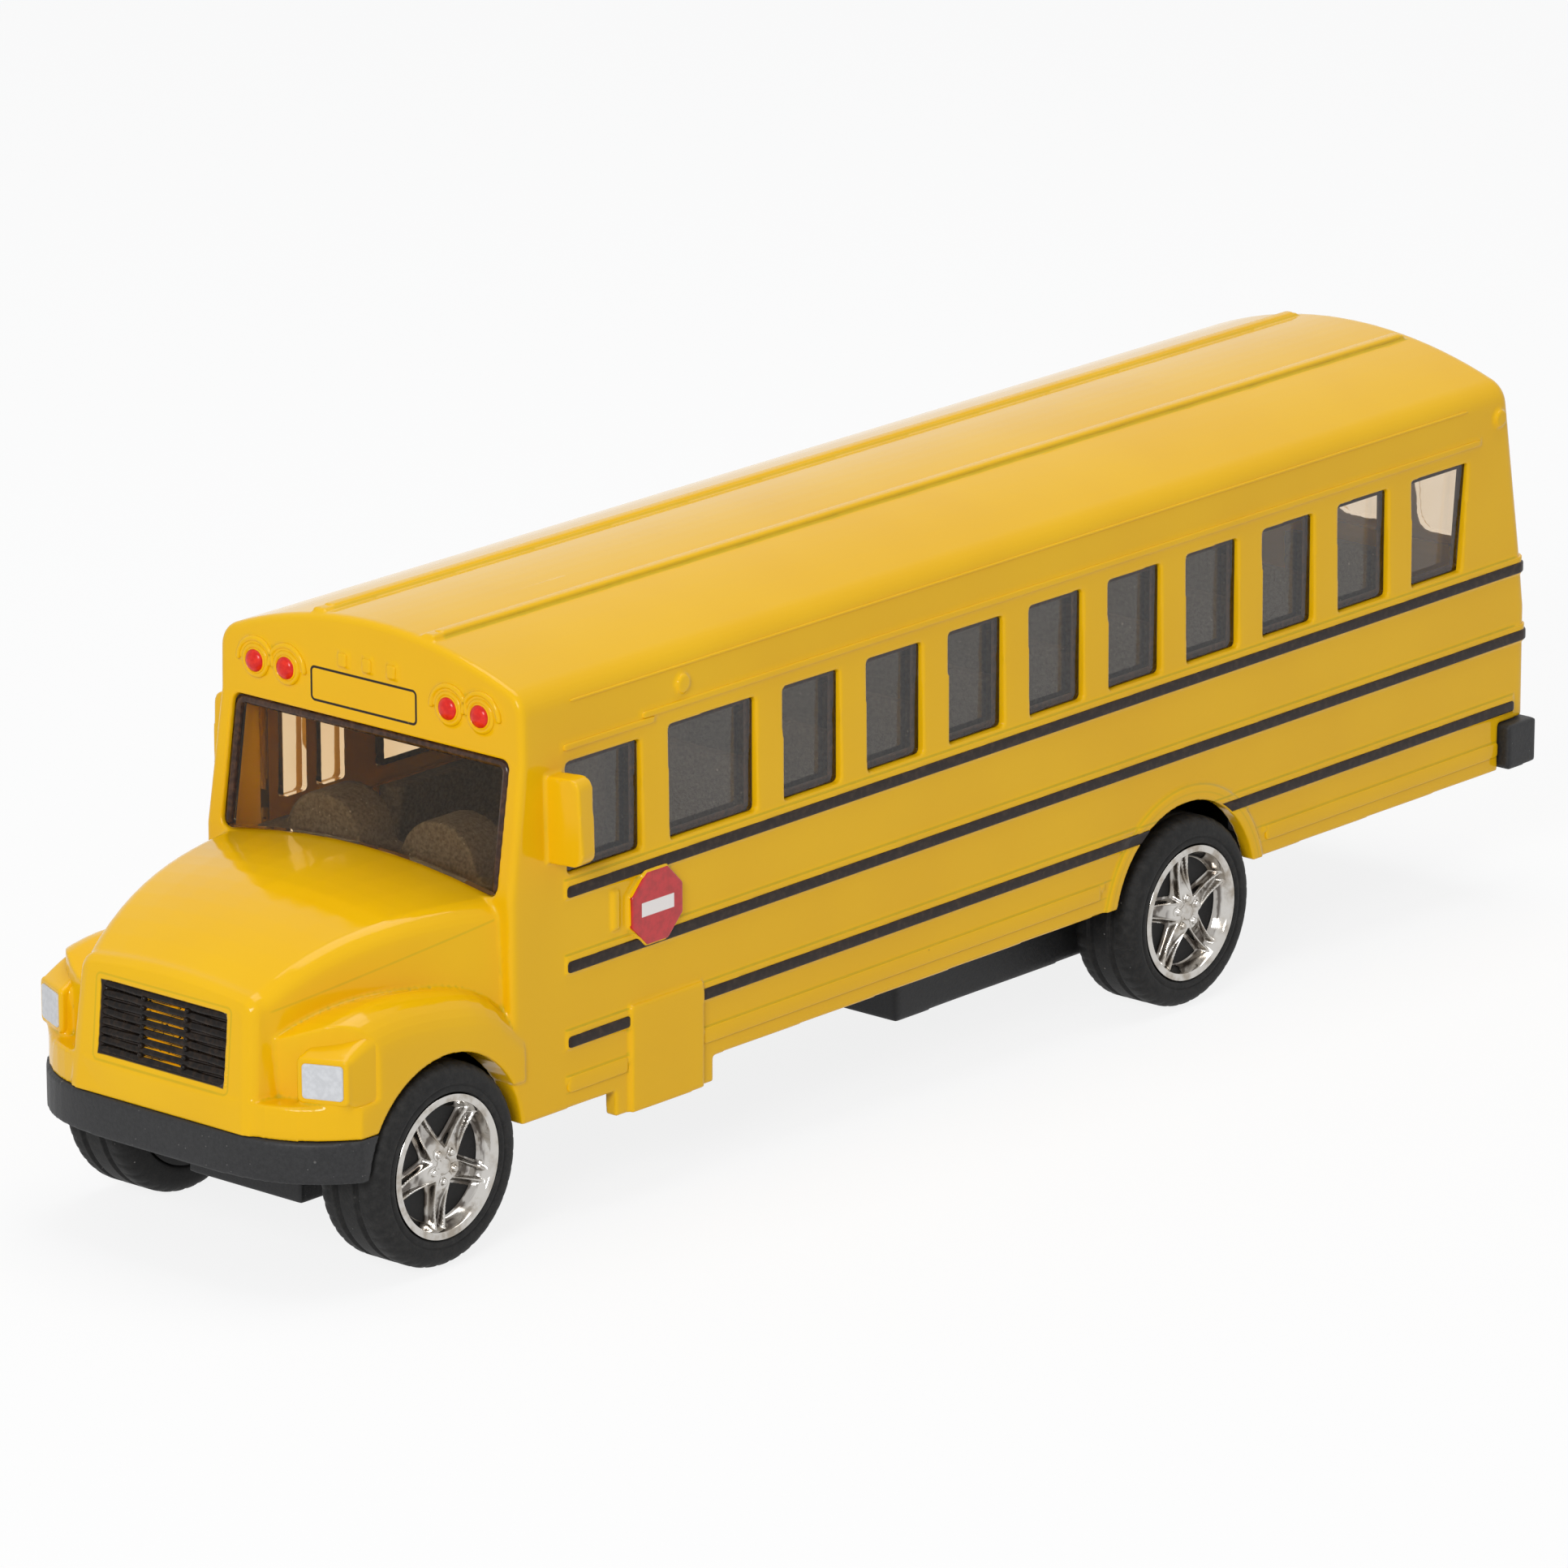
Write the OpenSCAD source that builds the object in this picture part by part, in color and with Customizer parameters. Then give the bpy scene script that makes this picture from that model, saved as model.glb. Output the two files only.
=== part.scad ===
// Toy bus with a cast body, smoked windows, a plastic chassis and a pull-back motor.
// The body is drawn level and then tipped by the rake, so that the tyres stand on z = 0.
// Front is -Y, the driver's side is +X.

/* [Body] */
// Length over both bumpers
overall_l = 165; // [160:0.5:172]
// Width across the flat sides
body_w = 35.3; // [34.6:0.1:37]
// Height of the roof crown above the body datum
roof_z = 51.35; // [50:0.05:54]
// Radius of the roof crown
roof_r = 42.6; // [38:0.2:60]
// Radius where the roof turns down into the sides
shoulder_r = 2.4; // [2.2:0.1:3]
// How far each side leans in between the belt and the shoulder
side_lean = 0.3; // [0:0.05:0.5]
// Height of the lower edge of the skirt
skirt_z = 10.9; // [10.5:0.05:11.4]
// Thickness of the cast walls
wall = 1.3; // [1.1:0.05:1.5]
// Nose-down lean of the body on its wheels, in degrees
rake = 0.98; // [0.6:0.02:1.2]
// Lean of the windscreen, in degrees
front_lean = 8.9; // [6:0.1:11]
// Lean of the upper rear wall, in degrees
rear_lean = 8; // [6:0.1:10]

/* [Windows] */
// Height of the window sills
sill_z = 31.4; // [31:0.05:32]
// Height of the side windows
win_h = 10.15; // [9:0.05:10.8]
// Length of the front pillar ahead of the driver's window
a_pillar = 7.1; // [6.6:0.1:8]
// Length of the driver's window
driver_w = 9.45; // [8.6:0.05:10]
// Length of the wide window behind the driver
wide_w = 11.2; // [9:0.1:12]
// Width of the posts between the windows
post_w = 3.5; // [2.8:0.1:4.2]
// Length of the rear pillar
rear_pillar = 9.2; // [8:0.1:11]
// Thickness of the smoked glazing
glass_t = 1; // [0.8:0.05:1.2]

/* [Rails] */
// Height of the middle of the lowest rail
rail_z = 16.78; // [16.4:0.02:17.2]
// Distance from one rail to the next
rail_pitch = 6.6; // [6.3:0.05:6.8]
// Height of a rail
rail_h = 1.04; // [0.7:0.02:1.2]
// How far a rail stands out of the side
rail_proud = 0.33; // [0.2:0.01:0.5]

/* [Hood and fenders] */
// Length from the bumper to the foot of the windscreen
hood_l = 24.7; // [24:0.1:25.6]
// Width of the hood at the windscreen
hood_w = 32.4; // [30:0.1:33]
// Width of the nose at the grille
nose_w = 20; // [18.6:0.1:21]
// Height of the hood at the windscreen
hood_z = 31.9; // [31.4:0.05:32.6]
// Height of the hood above the grille
nose_z = 26.2; // [25.4:0.05:27]
// Lean of the grille, in degrees
nose_lean = 7; // [4:0.1:8]
// Height of the crest of the fenders
fender_z = 25.1; // [24.4:0.05:25.6]

/* [Bumpers] */
// Width of the front bumper
bumper_w = 36.2; // [35.4:0.1:38]
// Height of a bumper's lower edge
bumper_z = 11.1; // [10.6:0.05:11.6]
// Height of the front bumper
bumper_h = 3.7; // [3:0.05:4.2]
// How far the front bumper sweeps back at its ends
bumper_sweep = 5.8; // [5:0.1:6.6]
// Width of the rear bumper
rear_bumper_w = 37.6; // [36.6:0.1:39]
// Length of the rear bumper
rear_bumper_l = 4.2; // [3.6:0.1:4.8]
// Height of the rear bumper
rear_bumper_h = 4.25; // [3.5:0.05:4.6]

/* [Wheels] */
// Distance between the axles
wheelbase = 98.5; // [97.5:0.1:99.5]
// Distance from the front of the bumper to the front axle
front_overhang = 15.95; // [15.5:0.05:16.4]
// Diameter of the tyres
tyre_d = 17.6; // [17:0.1:18]
// Width of the tyres
tyre_w = 7; // [6:0.1:7.2]
// Width over the outer faces of the tyres
track_w = 36.6; // [36:0.1:37.4]
// Diameter of the plated rims
rim_d = 12.5; // [11:0.1:13.4]
// Diameter of the steel axles
axle_d = 1.9; // [1.5:0.1:2.4]

/* [Motor] */
// Module of the gears
gear_m = 0.6; // [0.56:0.01:0.61]
// Teeth on each pinion
pinion_n = 9; // [9:1:10]
// Teeth on each gear wheel
wheel_n = 18; // [16:1:18]
// Width of the motor case
motor_w = 19.5; // [18.5:0.1:20.4]
// Height of the motor case's underside
motor_z = 3.8; // [3.3:0.05:4]
// Turns of the flat mainspring
spring_turns = 5; // [3:0.5:6]

/* [Screws] */
// Diameter of the screw shanks
screw_d = 2; // [1.6:0.1:2.4]
// Diameter of the screw heads
screw_head_d = 3.8; // [3.2:0.1:4.2]

/* [Hidden] */
$fn = 48;
over = 0.5;              // how far a cut runs past the face that it opens
fit = 0.1;               // gap round a piece set into another
press = 0.02;            // gap round a pressed-on piece
run = 0.05;              // gap round a turning shaft
seat = 0.02;             // gap under a piece that rests on another
side_fn = 32;            // sides of the small round details
small_windows = 9;

// Main places along and up the body
front_y = -overall_l / 2;
rear_y = overall_l / 2;
cowl_y = front_y + hood_l;
tail_gap = 0.1;          // how far the body stops short of the rear bumper's back
body_rear = rear_y - tail_gap;
half_w = body_w / 2;
bumper_top = bumper_z + bumper_h;
pivot_z = bumper_z + bumper_h / 2;
tyre_r = tyre_d / 2;
axle_r = axle_d / 2;
front_axle_y = front_y + front_overhang;
rear_axle_y = front_axle_y + wheelbase;
function axle_z(y) = pivot_z + (tyre_r - pivot_z - y * sin(rake)) / cos(rake);
front_axle_z = axle_z(front_axle_y);
rear_axle_z = axle_z(rear_axle_y);
sill_drop = 0.7;         // windscreen's lower edge below the side sills
screen_z = sill_z - sill_drop;
screen_rise = 11.6;      // height of the leaning part of the front
screen_top = screen_z + screen_rise;
knee_drop = 5.4;         // start of the rear wall's lean below the sills
knee_z = sill_z - knee_drop;

// Wheel arches
arch_gap = 0.8;          // room round the front tyre
rear_arch_gap = 1.2;
front_arch_r = tyre_r + arch_gap;
rear_arch_r = tyre_r + rear_arch_gap;
arch_shift = 0.35;       // arches sit a little inside the wheelbase
arch_lift = 0.4;         // and the rear one a little above its axle
front_arch = [front_axle_y + arch_shift, front_axle_z];
rear_arch = [rear_axle_y - arch_shift, rear_axle_z + arch_lift];
lip_w = 1.4;
lip_proud = 0.3;
well_gap = 0.7;          // room between a tyre's inner face and the wall of its well
side_strip = 0.65;       // chassis left between the motor case and a rear well
well_x = max(track_w / 2 - tyre_w - well_gap, motor_w / 2 + 2 * fit + side_strip);
tyre_in = well_x + well_gap;
tyre_out = tyre_in + tyre_w;

// Interpolation and outlines
function mix(a, b, t) = a + (b - a) * t;
function arc(c, r, a0, a1, n) =
    [for (i = [0:n]) c + r * [cos(mix(a0, a1, i / n)), sin(mix(a0, a1, i / n))]];
// value at t of a table of [place, share], on a smooth curve through its entries
function slope(table, i) = let (a = table[max(0, i - 1)], b = table[min(len(table) - 1, i + 1)])
    (b[1] - a[1]) / (b[0] - a[0]);
function smooth(t, table) =
    let (k = max([for (i = [0:len(table) - 2]) t >= table[i][0] ? i : 0]),
         a = table[k], b = table[k + 1], h = b[0] - a[0], u = (t - a[0]) / h, e = u * u * (3 - 2 * u))
    mix(a[1], b[1], e) + h * u * (1 - u) * ((1 - u) * slope(table, k) - u * slope(table, k + 1));
function round_box(w, h, r) = concat(
    arc([w / 2 - r, h / 2 - r], r, 0, 90, 4), arc([r - w / 2, h / 2 - r], r, 90, 180, 4),
    arc([r - w / 2, r - h / 2], r, 180, 270, 4), arc([w / 2 - r, r - h / 2], r, 270, 360, 4));
// half outline (from the foot up to the crown) to a full one, mirrored in x
function mirrored(half) = concat(half,
    [for (i = [len(half) - 2:-1:0]) [-half[i][0], half[i][1]]]);

// Solid through a row of like outlines; paired ends are closed by strips across x
module skin(rings, paired = true) {
    n = len(rings[0]);
    last = len(rings) - 1;
    sides = [for (i = [0:last - 1], j = [0:n - 1]) let (k = (j + 1) % n)
        each [[i * n + j, i * n + k, (i + 1) * n + k],
              [i * n + j, (i + 1) * n + k, (i + 1) * n + j]]];
    strips = [for (j = [0:(n - 3) / 2]) [j, j + 1, n - 2 - j, n - 1 - j]];
    front_cap = paired
        ? [for (s = strips) each s[1] == s[2] ? [[s[3], s[1], s[0]]]
            : [[s[3], s[2], s[1]], [s[3], s[1], s[0]]]]
        : [[for (j = [n - 1:-1:0]) j]];
    rear_cap = [for (f = front_cap) [for (j = [len(f) - 1:-1:0]) last * n + f[j]]];
    polyhedron(points = [for (ring = rings) each ring], faces = concat(sides, front_cap, rear_cap));
}

// Extrudes an outline of [y, z] points along x from x0 to x1
module across(x0, x1) {
    translate([x0, 0, 0]) rotate([90, 0, 90]) linear_extrude(x1 - x0) children();
}
module shaft(r, x0, x1, y, z) {
    translate([x0, y, z]) rotate([0, 90, 0]) cylinder(r = r, h = x1 - x0);
}
module both_sides() {
    children();
    mirror([1, 0, 0]) children();
}
module block(low, high) {
    translate(low) cube(high - low);
}
// Tips the level body onto its wheels
module on_ground() {
    translate([0, 0, pivot_z]) rotate([rake, 0, 0]) translate([0, 0, -pivot_z]) children();
}

// Cross-section of the cabin, moved in by d
roof_c = roof_z - roof_r;
top_w = half_w - side_lean;
shoulder_c = [top_w - shoulder_r, roof_c + sqrt(pow(roof_r - shoulder_r, 2) - pow(top_w - shoulder_r, 2))];
shoulder_a = atan2(shoulder_c[1] - roof_c, shoulder_c[0]);
function side_x(z) = half_w - side_lean * (z - screen_z) / (shoulder_c[1] - screen_z);
function cabin_half(d, foot) = concat(
    [[half_w - d, foot], [half_w - d, knee_z], [half_w - d, screen_z], [side_x(screen_top) - d, screen_top]],
    arc(shoulder_c, shoulder_r - d, 0, shoulder_a, 7),
    [for (i = [1:11]) let (a = mix(shoulder_a, 90, i / 11))
        [(roof_r - d) * cos(a), roof_c + (roof_r - d) * sin(a)]]);
function front_face(z) = cowl_y + (min(z, screen_top) - min(z, screen_z)) * tan(front_lean);
function rear_face(z) = body_rear - max(0, z - knee_z) * tan(rear_lean);
function at_front(d, foot, back) =
    [for (p = mirrored(cabin_half(d, foot))) [p[0], front_face(p[1]) + back, p[1]]];
function at_rear(d, foot, ahead) =
    [for (p = mirrored(cabin_half(d, foot))) [p[0], rear_face(p[1]) - ahead, p[1]]];
front_round = 0.6;       // roundness of the cabin's front edges
rear_round = 1.2;        // and of its rear edges
round_steps = 5;

module cabin_outside() {
    skin(concat(
        [for (k = [0:round_steps]) let (a = 90 * k / round_steps)
            at_front(front_round * (1 - sin(a)), skirt_z, front_round * (1 - cos(a)))],
        [for (k = [round_steps:-1:0]) let (a = 90 * k / round_steps)
            at_rear(rear_round * (1 - sin(a)), skirt_z, rear_round * (1 - cos(a)))]));
}
module cabin_inside() {
    skin([at_front(wall, skirt_z - over, wall), at_rear(wall, skirt_z - over, wall)]);
}

// Hood: crown, shoulders and sides, from the cowl (s = 0) to the nose (s = 1)
hood_curve = 2.7;        // how late the hood falls towards the nose
hood_shoulder = [2.2, 1.7];
hood_drop = [1.25, 0.5]; // crown of the hood across its width
hood_flare = 0.6;        // how far its sides spread at the foot
nose_round = 1.4;
nose_set = 0.35;         // nose behind the front of the bumper
nose_y = front_y + nose_set;
hood_steps = 12;
function hood_top(s) = hood_z - (hood_z - nose_z) * pow(max(0, s), hood_curve);
function hood_half(s, d, foot) =
    let (w = mix(hood_w, nose_w, s) / 2 - d, top = hood_top(s) - d,
         r = max(over, mix(hood_shoulder[0], hood_shoulder[1], s) - d),
         drop = mix(hood_drop[0], hood_drop[1], s), x1 = w - r, z1 = top - drop - r)
    concat([[w + hood_flare, foot]], arc([x1, z1], r, 0, 75, 5),
        [for (i = [0:4]) let (x = mix(x1, 0, i / 4)) [x, top - drop * pow(x / x1, 2)]]);
function hood_ring(s, d, foot, ahead) =
    [for (p = mirrored(hood_half(s, d, foot)))
        [p[0],
         mix(cowl_y, nose_y, s) - ahead + pow(max(0, s), 4) * max(0, p[1] - bumper_top) * tan(nose_lean),
         p[1]]];
nose_s = 1 - nose_round / (cowl_y - nose_y);

module hood_outside() {
    skin(concat(
        [for (k = [3:-1:0]) let (a = 90 * k / 3)
            hood_ring(nose_s, nose_round * (1 - cos(a)), bumper_top, nose_round * sin(a))],
        [for (k = [hood_steps - 1:-1:0]) hood_ring(nose_s * k / hood_steps, 0, bumper_top, 0)],
        [hood_ring(0, 0, bumper_top, -wall)]));
}
module hood_inside() {
    skin(concat(
        [for (k = [hood_steps:-2:0])
            hood_ring((nose_s - wall / hood_l) * k / hood_steps, wall, skirt_z - over, 0)],
        [hood_ring(0, wall, skirt_z - over, -wall - over)]));
}

// Plan of the front end: a flat middle that sweeps back towards its ends
sweep_power = 4.5;
function sweep(x) = front_y + bumper_sweep * pow(abs(x) / (bumper_w / 2), sweep_power);
function swept(inset, half, back) = concat(
    [for (i = [-14:14]) let (x = half * i / 14) [x, sweep(x) + inset]], [[half, back], [-half, back]]);

// Fenders: height of the crest along their length, as shares of its height over the bumper
fender_h = fender_z - bumper_top;
crest_shares = [[0, 0.83], [0.16, 0.95], [0.35, 1], [0.6, 0.95], [0.85, 0.81], [1, 0.53]];
fender_crown = [3, 3.5]; // roundness from the side up to the crest, across and up
fender_dip = 1.2;        // fall from the crest to the hood's side
fender_out = half_w + rail_proud;
fender_in = nose_w / 2 - wall;
fender_set = 2.6;        // fenders behind the bumper's front
fender_back = cowl_y + wall;
fender_steps = 16;
function fender_ring(t) =
    let (y = mix(front_y + fender_set, fender_back, t),
         crest = bumper_top + fender_h * smooth(t, crest_shares))
    [for (p = concat([[fender_in, bumper_top], [fender_out, bumper_top]],
            [for (i = [0:7]) let (a = 90 * i / 7) [fender_out - fender_crown[0] * (1 - cos(a)),
                                                  crest - fender_crown[1] * (1 - sin(a))]],
            [[fender_in, crest - fender_dip]])) [p[0], y, p[1]]];
module fender() {
    intersection() {
        skin([for (i = [0:fender_steps]) fender_ring(i / fender_steps)], paired = false);
        linear_extrude(roof_z) polygon(swept(fender_set, fender_out, fender_back));
    }
}
valance_set = 0.35;
valance_h = 2.9;
module valance() {
    translate([0, 0, bumper_top]) linear_extrude(valance_h)
        polygon(swept(valance_set, fender_out, front_arch[0]));
}

// Headlamps: a raised block turned to follow the sweep, with its lens face
lamp_w = 4.4;
lamp_h = 4.1;
lamp_l = 4;
lamp_turn = 24;
lamp_in = 2.05;           // middle of a headlamp inside the body's side
lamp_x = half_w - lamp_in;
lamp_proud = 1.7;
lens_w = 3.5;
lens_h = 3.15;
lens_proud = 0.3;
lamp_y = sweep(lamp_x) + fender_set - lamp_proud;
lamp_z = bumper_top + valance_h + lamp_h / 2;
module headlamp() {
    translate([lamp_x, lamp_y, lamp_z]) rotate([0, 0, lamp_turn]) {
        translate([-lamp_w / 2, 0, -lamp_h / 2]) cube([lamp_w, lamp_l, lamp_h]);
        translate([-lens_w / 2, -lens_proud, -lens_h / 2]) cube([lens_w, lamp_l, lens_h]);
    }
}

// Grille: a shallow frame with louvres
grille_w = 14.4;
grille_z = 18.3;
grille_h = 6.4;
louvres = 8;
louvre_r = 0.36;
grille_depth = 0.5;
module on_nose() {
    translate([0, nose_y, bumper_top]) rotate([-nose_lean, 0, 0]) children();
}
module grille_cut() {
    on_nose() translate([0, grille_depth, grille_z - bumper_top + grille_h / 2]) rotate([90, 0, 0])
        linear_extrude(grille_depth + over) polygon(round_box(grille_w, grille_h, 2 * louvre_r));
}
module louvre_bars() {
    on_nose() for (i = [0:louvres - 1])
        translate([-grille_w / 2 - louvre_r / 2, grille_depth,
                   grille_z - bumper_top + grille_h * (i + 0.5) / louvres])
            rotate([0, 90, 0]) cylinder(r = louvre_r, h = grille_w + louvre_r, $fn = 16);
}

// Windows: places along the side
driver_y = cowl_y + a_pillar;
wide_y = driver_y + driver_w + post_w;
row_y = wide_y + wide_w + post_w;
row_end = body_rear - rear_pillar;
last_extra = 1;          // the last window is longer at the top
win_pitch = (row_end - last_extra - row_y + post_w) / small_windows;
win_w = win_pitch - post_w;
win_round = 0.4;
driver_h = win_h - win_round;
win_places = concat([[driver_y, driver_w, driver_h], [wide_y, wide_w, win_h]],
    [for (i = [0:small_windows - 2]) [row_y + win_pitch * i, win_w, win_h]]);
last_y = row_y + win_pitch * (small_windows - 1);
// outlines in [y, z], grown by g
module window_shapes(g, with_driver) {
    for (w = with_driver ? win_places : [for (i = [1:len(win_places) - 1]) win_places[i]])
        translate([w[0] + w[1] / 2, sill_z + w[2] / 2])
            polygon(round_box(w[1] + 2 * g, w[2] + 2 * g, win_round));
    polygon([[last_y - g, sill_z - g], [last_y + win_w + g, sill_z - g],
             [last_y + win_w + last_extra + g, sill_z + win_h + g], [last_y - g, sill_z + win_h + g]]);
}
// Entrance door on the far side: two leaves, each with an upper and a lower pane
door_leaf = driver_w / 2;
door_pane_w = 3.1;
door_low_z = rail_z + rail_h;
door_low_h = sill_z - door_low_z - 2 * rail_h;
module door_shapes(g) {
    for (i = [0, 1]) {
        translate([driver_y + door_leaf * (i + 0.5), sill_z + driver_h / 2])
            polygon(round_box(door_pane_w + 2 * g, driver_h + 2 * g, win_round));
        translate([driver_y + door_leaf * (i + 0.5), door_low_z + door_low_h / 2])
            polygon(round_box(door_pane_w + 2 * g, door_low_h + 2 * g, win_round));
    }
}
// Windscreen and rear windows, drawn flat in [x, height] and stood up on the leaning walls
screen_post = 1.8;       // post on each side of the windscreen
screen_w = body_w - 2 * screen_post;
screen_h = 11.7;
screen_round = 0.8;
rear_win_w = 8.6;
rear_win_h = 9.4;
rear_win_in = 3.35;      // rear windows inside the body's sides
rear_win_x = half_w - rear_win_in - rear_win_w / 2;
rear_win_round = 1.4;
rear_door_w = 8;
rear_win_lift = 0.8;
module on_screen() {
    translate([0, cowl_y, screen_z]) rotate([90 - front_lean, 0, 0]) children();
}
module on_header() {
    translate([0, front_face(screen_top), 0]) rotate([90, 0, 0]) children();
}
module on_tail() {
    foot = sill_z + rear_win_lift;
    translate([0, rear_face(foot), foot]) rotate([90 + rear_lean, 0, 0]) children();
}
module screen_shape(g) {
    translate([0, screen_h / 2]) polygon(round_box(screen_w + 2 * g, screen_h + 2 * g, screen_round));
}
module tail_shapes(g) {
    for (x = [-rear_win_x, 0, rear_win_x])
        translate([x, rear_win_h / 2])
            polygon(round_box((x == 0 ? rear_door_w : rear_win_w) + 2 * g, rear_win_h + 2 * g,
                              rear_win_round));
}

// Screw bosses
box_w = 13;              // front axle box under the chassis
box_l = 10.8;
chin_w = 8.6;            // pad ahead of it for the front screw
chin_l = 4.5;
pad_drop = 2.25;         // how far the screw pads hang below the plate
boss_d = screw_head_d + 2 * wall;
front_boss_y = front_axle_y - box_l / 2 - chin_l / 2;
rear_boss_y = rear_y - rear_bumper_l - boss_d / 2 - 2 * fit;
plate_t = 1.5;
plate_top = skirt_z + plate_t;
pilot_d = screw_d + 2 * press;
screw_bite = 6;          // length of the screws inside the bosses
boss_floor = plate_top + seat;
boss_top = boss_floor + screw_bite + 2 * wall;
module bosses() {
    for (y = [front_boss_y, rear_boss_y])
        translate([0, y, boss_floor]) cylinder(d = boss_d, h = boss_top - boss_floor);
    block([-wall, nose_y + 1.5 * wall, bumper_top + wall / 2], [wall, front_boss_y, boss_top]);
    block([-wall, rear_boss_y, bumper_z + rear_bumper_h + wall], [wall, body_rear - wall / 2, boss_top]);
}
module boss_pilots() {
    for (y = [front_boss_y, rear_boss_y])
        translate([0, y, boss_floor - over]) cylinder(d = pilot_d, h = screw_bite + 2 * over);
}

// Raised details of the sides
rail_front = a_pillar - post_w / 8;
base_h = 0.5;            // low step above each rail
base_proud = 0.14;
bead_h = 0.45;
bead_proud = 0.18;
bead_z = 13.2;
drip_z = sill_z + win_h + 2 * rail_h / 1.6;
drip_h = 0.6;
hatch_w = 9.2;
hatch_h = 9.5;
hatch_proud = 0.45;
hatch_drop = 2.3;        // how far the hatch hangs below the skirt
hatch_shift = 0.95;      // hatch ahead of the wide window's front edge
hatch_y = wide_y - hatch_shift;
tab_w = 12.5;
sign_w = 6.4;            // octagon across its flats
sign_proud = 0.6;
sign_y = driver_y + driver_w + sign_w / 6;
sign_z = rail_z + rail_pitch * 1.46;
hinge_w = 0.8;
hinge_h = 3.4;
marker_r = 0.8;
marker_proud = 0.25;
rib_w = 1.3;
rib_h = 0.35;
rib_x = 6.3;
rib_end = 4;             // ribs stop short of the rear wall
side_in = half_w - wall / 2;

module rail_at(z, y0, y1) {
    block([side_in, y0, z - rail_h / 2], [half_w + rail_proud, y1, z + rail_h / 2]);
    block([side_in, y0, z], [half_w + base_proud, y1, z + rail_h / 2 + base_h]);
}
rail_start = cowl_y + rail_front;
module rails(z0_break) {
    for (i = [1, 2]) let (z = rail_z + rail_pitch * i)
        rail_at(z, rail_start, rear_face(z) - rear_round);
    rail_at(rail_z, rail_start, z0_break[0]);
    rail_at(rail_z, z0_break[1], body_rear - rear_bumper_l / 2);
    for (r = [[rail_start, z0_break[0]], [z0_break[1], rear_arch[0] - rear_arch_r - lip_w],
              [rear_arch[0] + rear_arch_r + lip_w, body_rear - rear_bumper_l - bead_h]])
        block([side_in, r[0], bead_z], [half_w + bead_proud, r[1], bead_z + bead_h]);
}
// the two upper rails run on round the tail
module tail_rails() {
    for (i = [1, 2]) let (z = rail_z + rail_pitch * i)
        block([-half_w + rear_round, rear_face(z) - wall, z - rail_h / 2],
              [half_w - rear_round, rear_face(z) + rail_proud, z + rail_h / 2]);
    both_sides() for (i = [1, 2]) let (z = rail_z + rail_pitch * i)
        translate([half_w - rear_round, rear_face(z) - rear_round, z - rail_h / 2])
            cylinder(r = rear_round + rail_proud, h = rail_h);
}
module side_trim() {
    block([side_in - side_lean, wide_y - post_w, drip_z],
          [half_w + bead_proud - side_lean, row_end + post_w / 2, drip_z + drip_h]);
    block([side_in - side_lean, driver_y - post_w / 8, drip_z - drip_h],
          [half_w + bead_proud - side_lean, wide_y - post_w / 2, drip_z]);
    for (y = [row_y - post_w / 2 - wide_w, row_end + rear_pillar / 2])
        shaft(marker_r, side_in, half_w - side_lean / 2 + marker_proud, y, shoulder_c[1] - shoulder_r / 2);
    difference() {
        shaft(rear_arch_r + lip_w, side_in, half_w + lip_proud, rear_arch[0], rear_arch[1]);
        block([0, rear_arch[0] - 2 * rear_arch_r, -rear_arch_r],
              [body_w, rear_arch[0] + 2 * rear_arch_r, skirt_z]);
    }
}
module hatch() {
    block([half_w - wall, hatch_y - hatch_w / 2, skirt_z - hatch_drop],
          [half_w + hatch_proud, hatch_y + hatch_w / 2, skirt_z - hatch_drop + hatch_h]);
    block([half_w - wall, hatch_y - tab_w / 2, skirt_z - hatch_drop],
          [half_w, hatch_y + tab_w / 2, skirt_z + wall]);
}
module sign_plate() {
    translate([half_w - wall, sign_y, sign_z]) rotate([0, 90, 0]) rotate([0, 0, 22.5])
        cylinder(r = sign_w / 2 / cos(22.5), h = wall + sign_proud, $fn = 8);
    block([half_w - wall, sign_y - sign_w / 2 - 2.5 * hinge_w, sign_z - hinge_h / 3],
          [half_w + lip_proud, sign_y - sign_w / 2 - 1.5 * hinge_w, sign_z + hinge_h * 2 / 3]);
}
door_proud = 0.2;
module door_frame() {
    block([side_in, driver_y - post_w / 4, skirt_z],
          [half_w + door_proud, driver_y + driver_w + post_w / 4, drip_z]);
}
module ribs() {
    across_z = roof_c + sqrt(pow(roof_r, 2) - pow(rib_x, 2));
    for (x = [-rib_x, rib_x])
        block([x - rib_w / 2, front_face(across_z) + front_round, across_z - wall / 2],
              [x + rib_w / 2, rear_face(across_z) - rib_end / 2, across_z + rib_h]);
}

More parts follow.
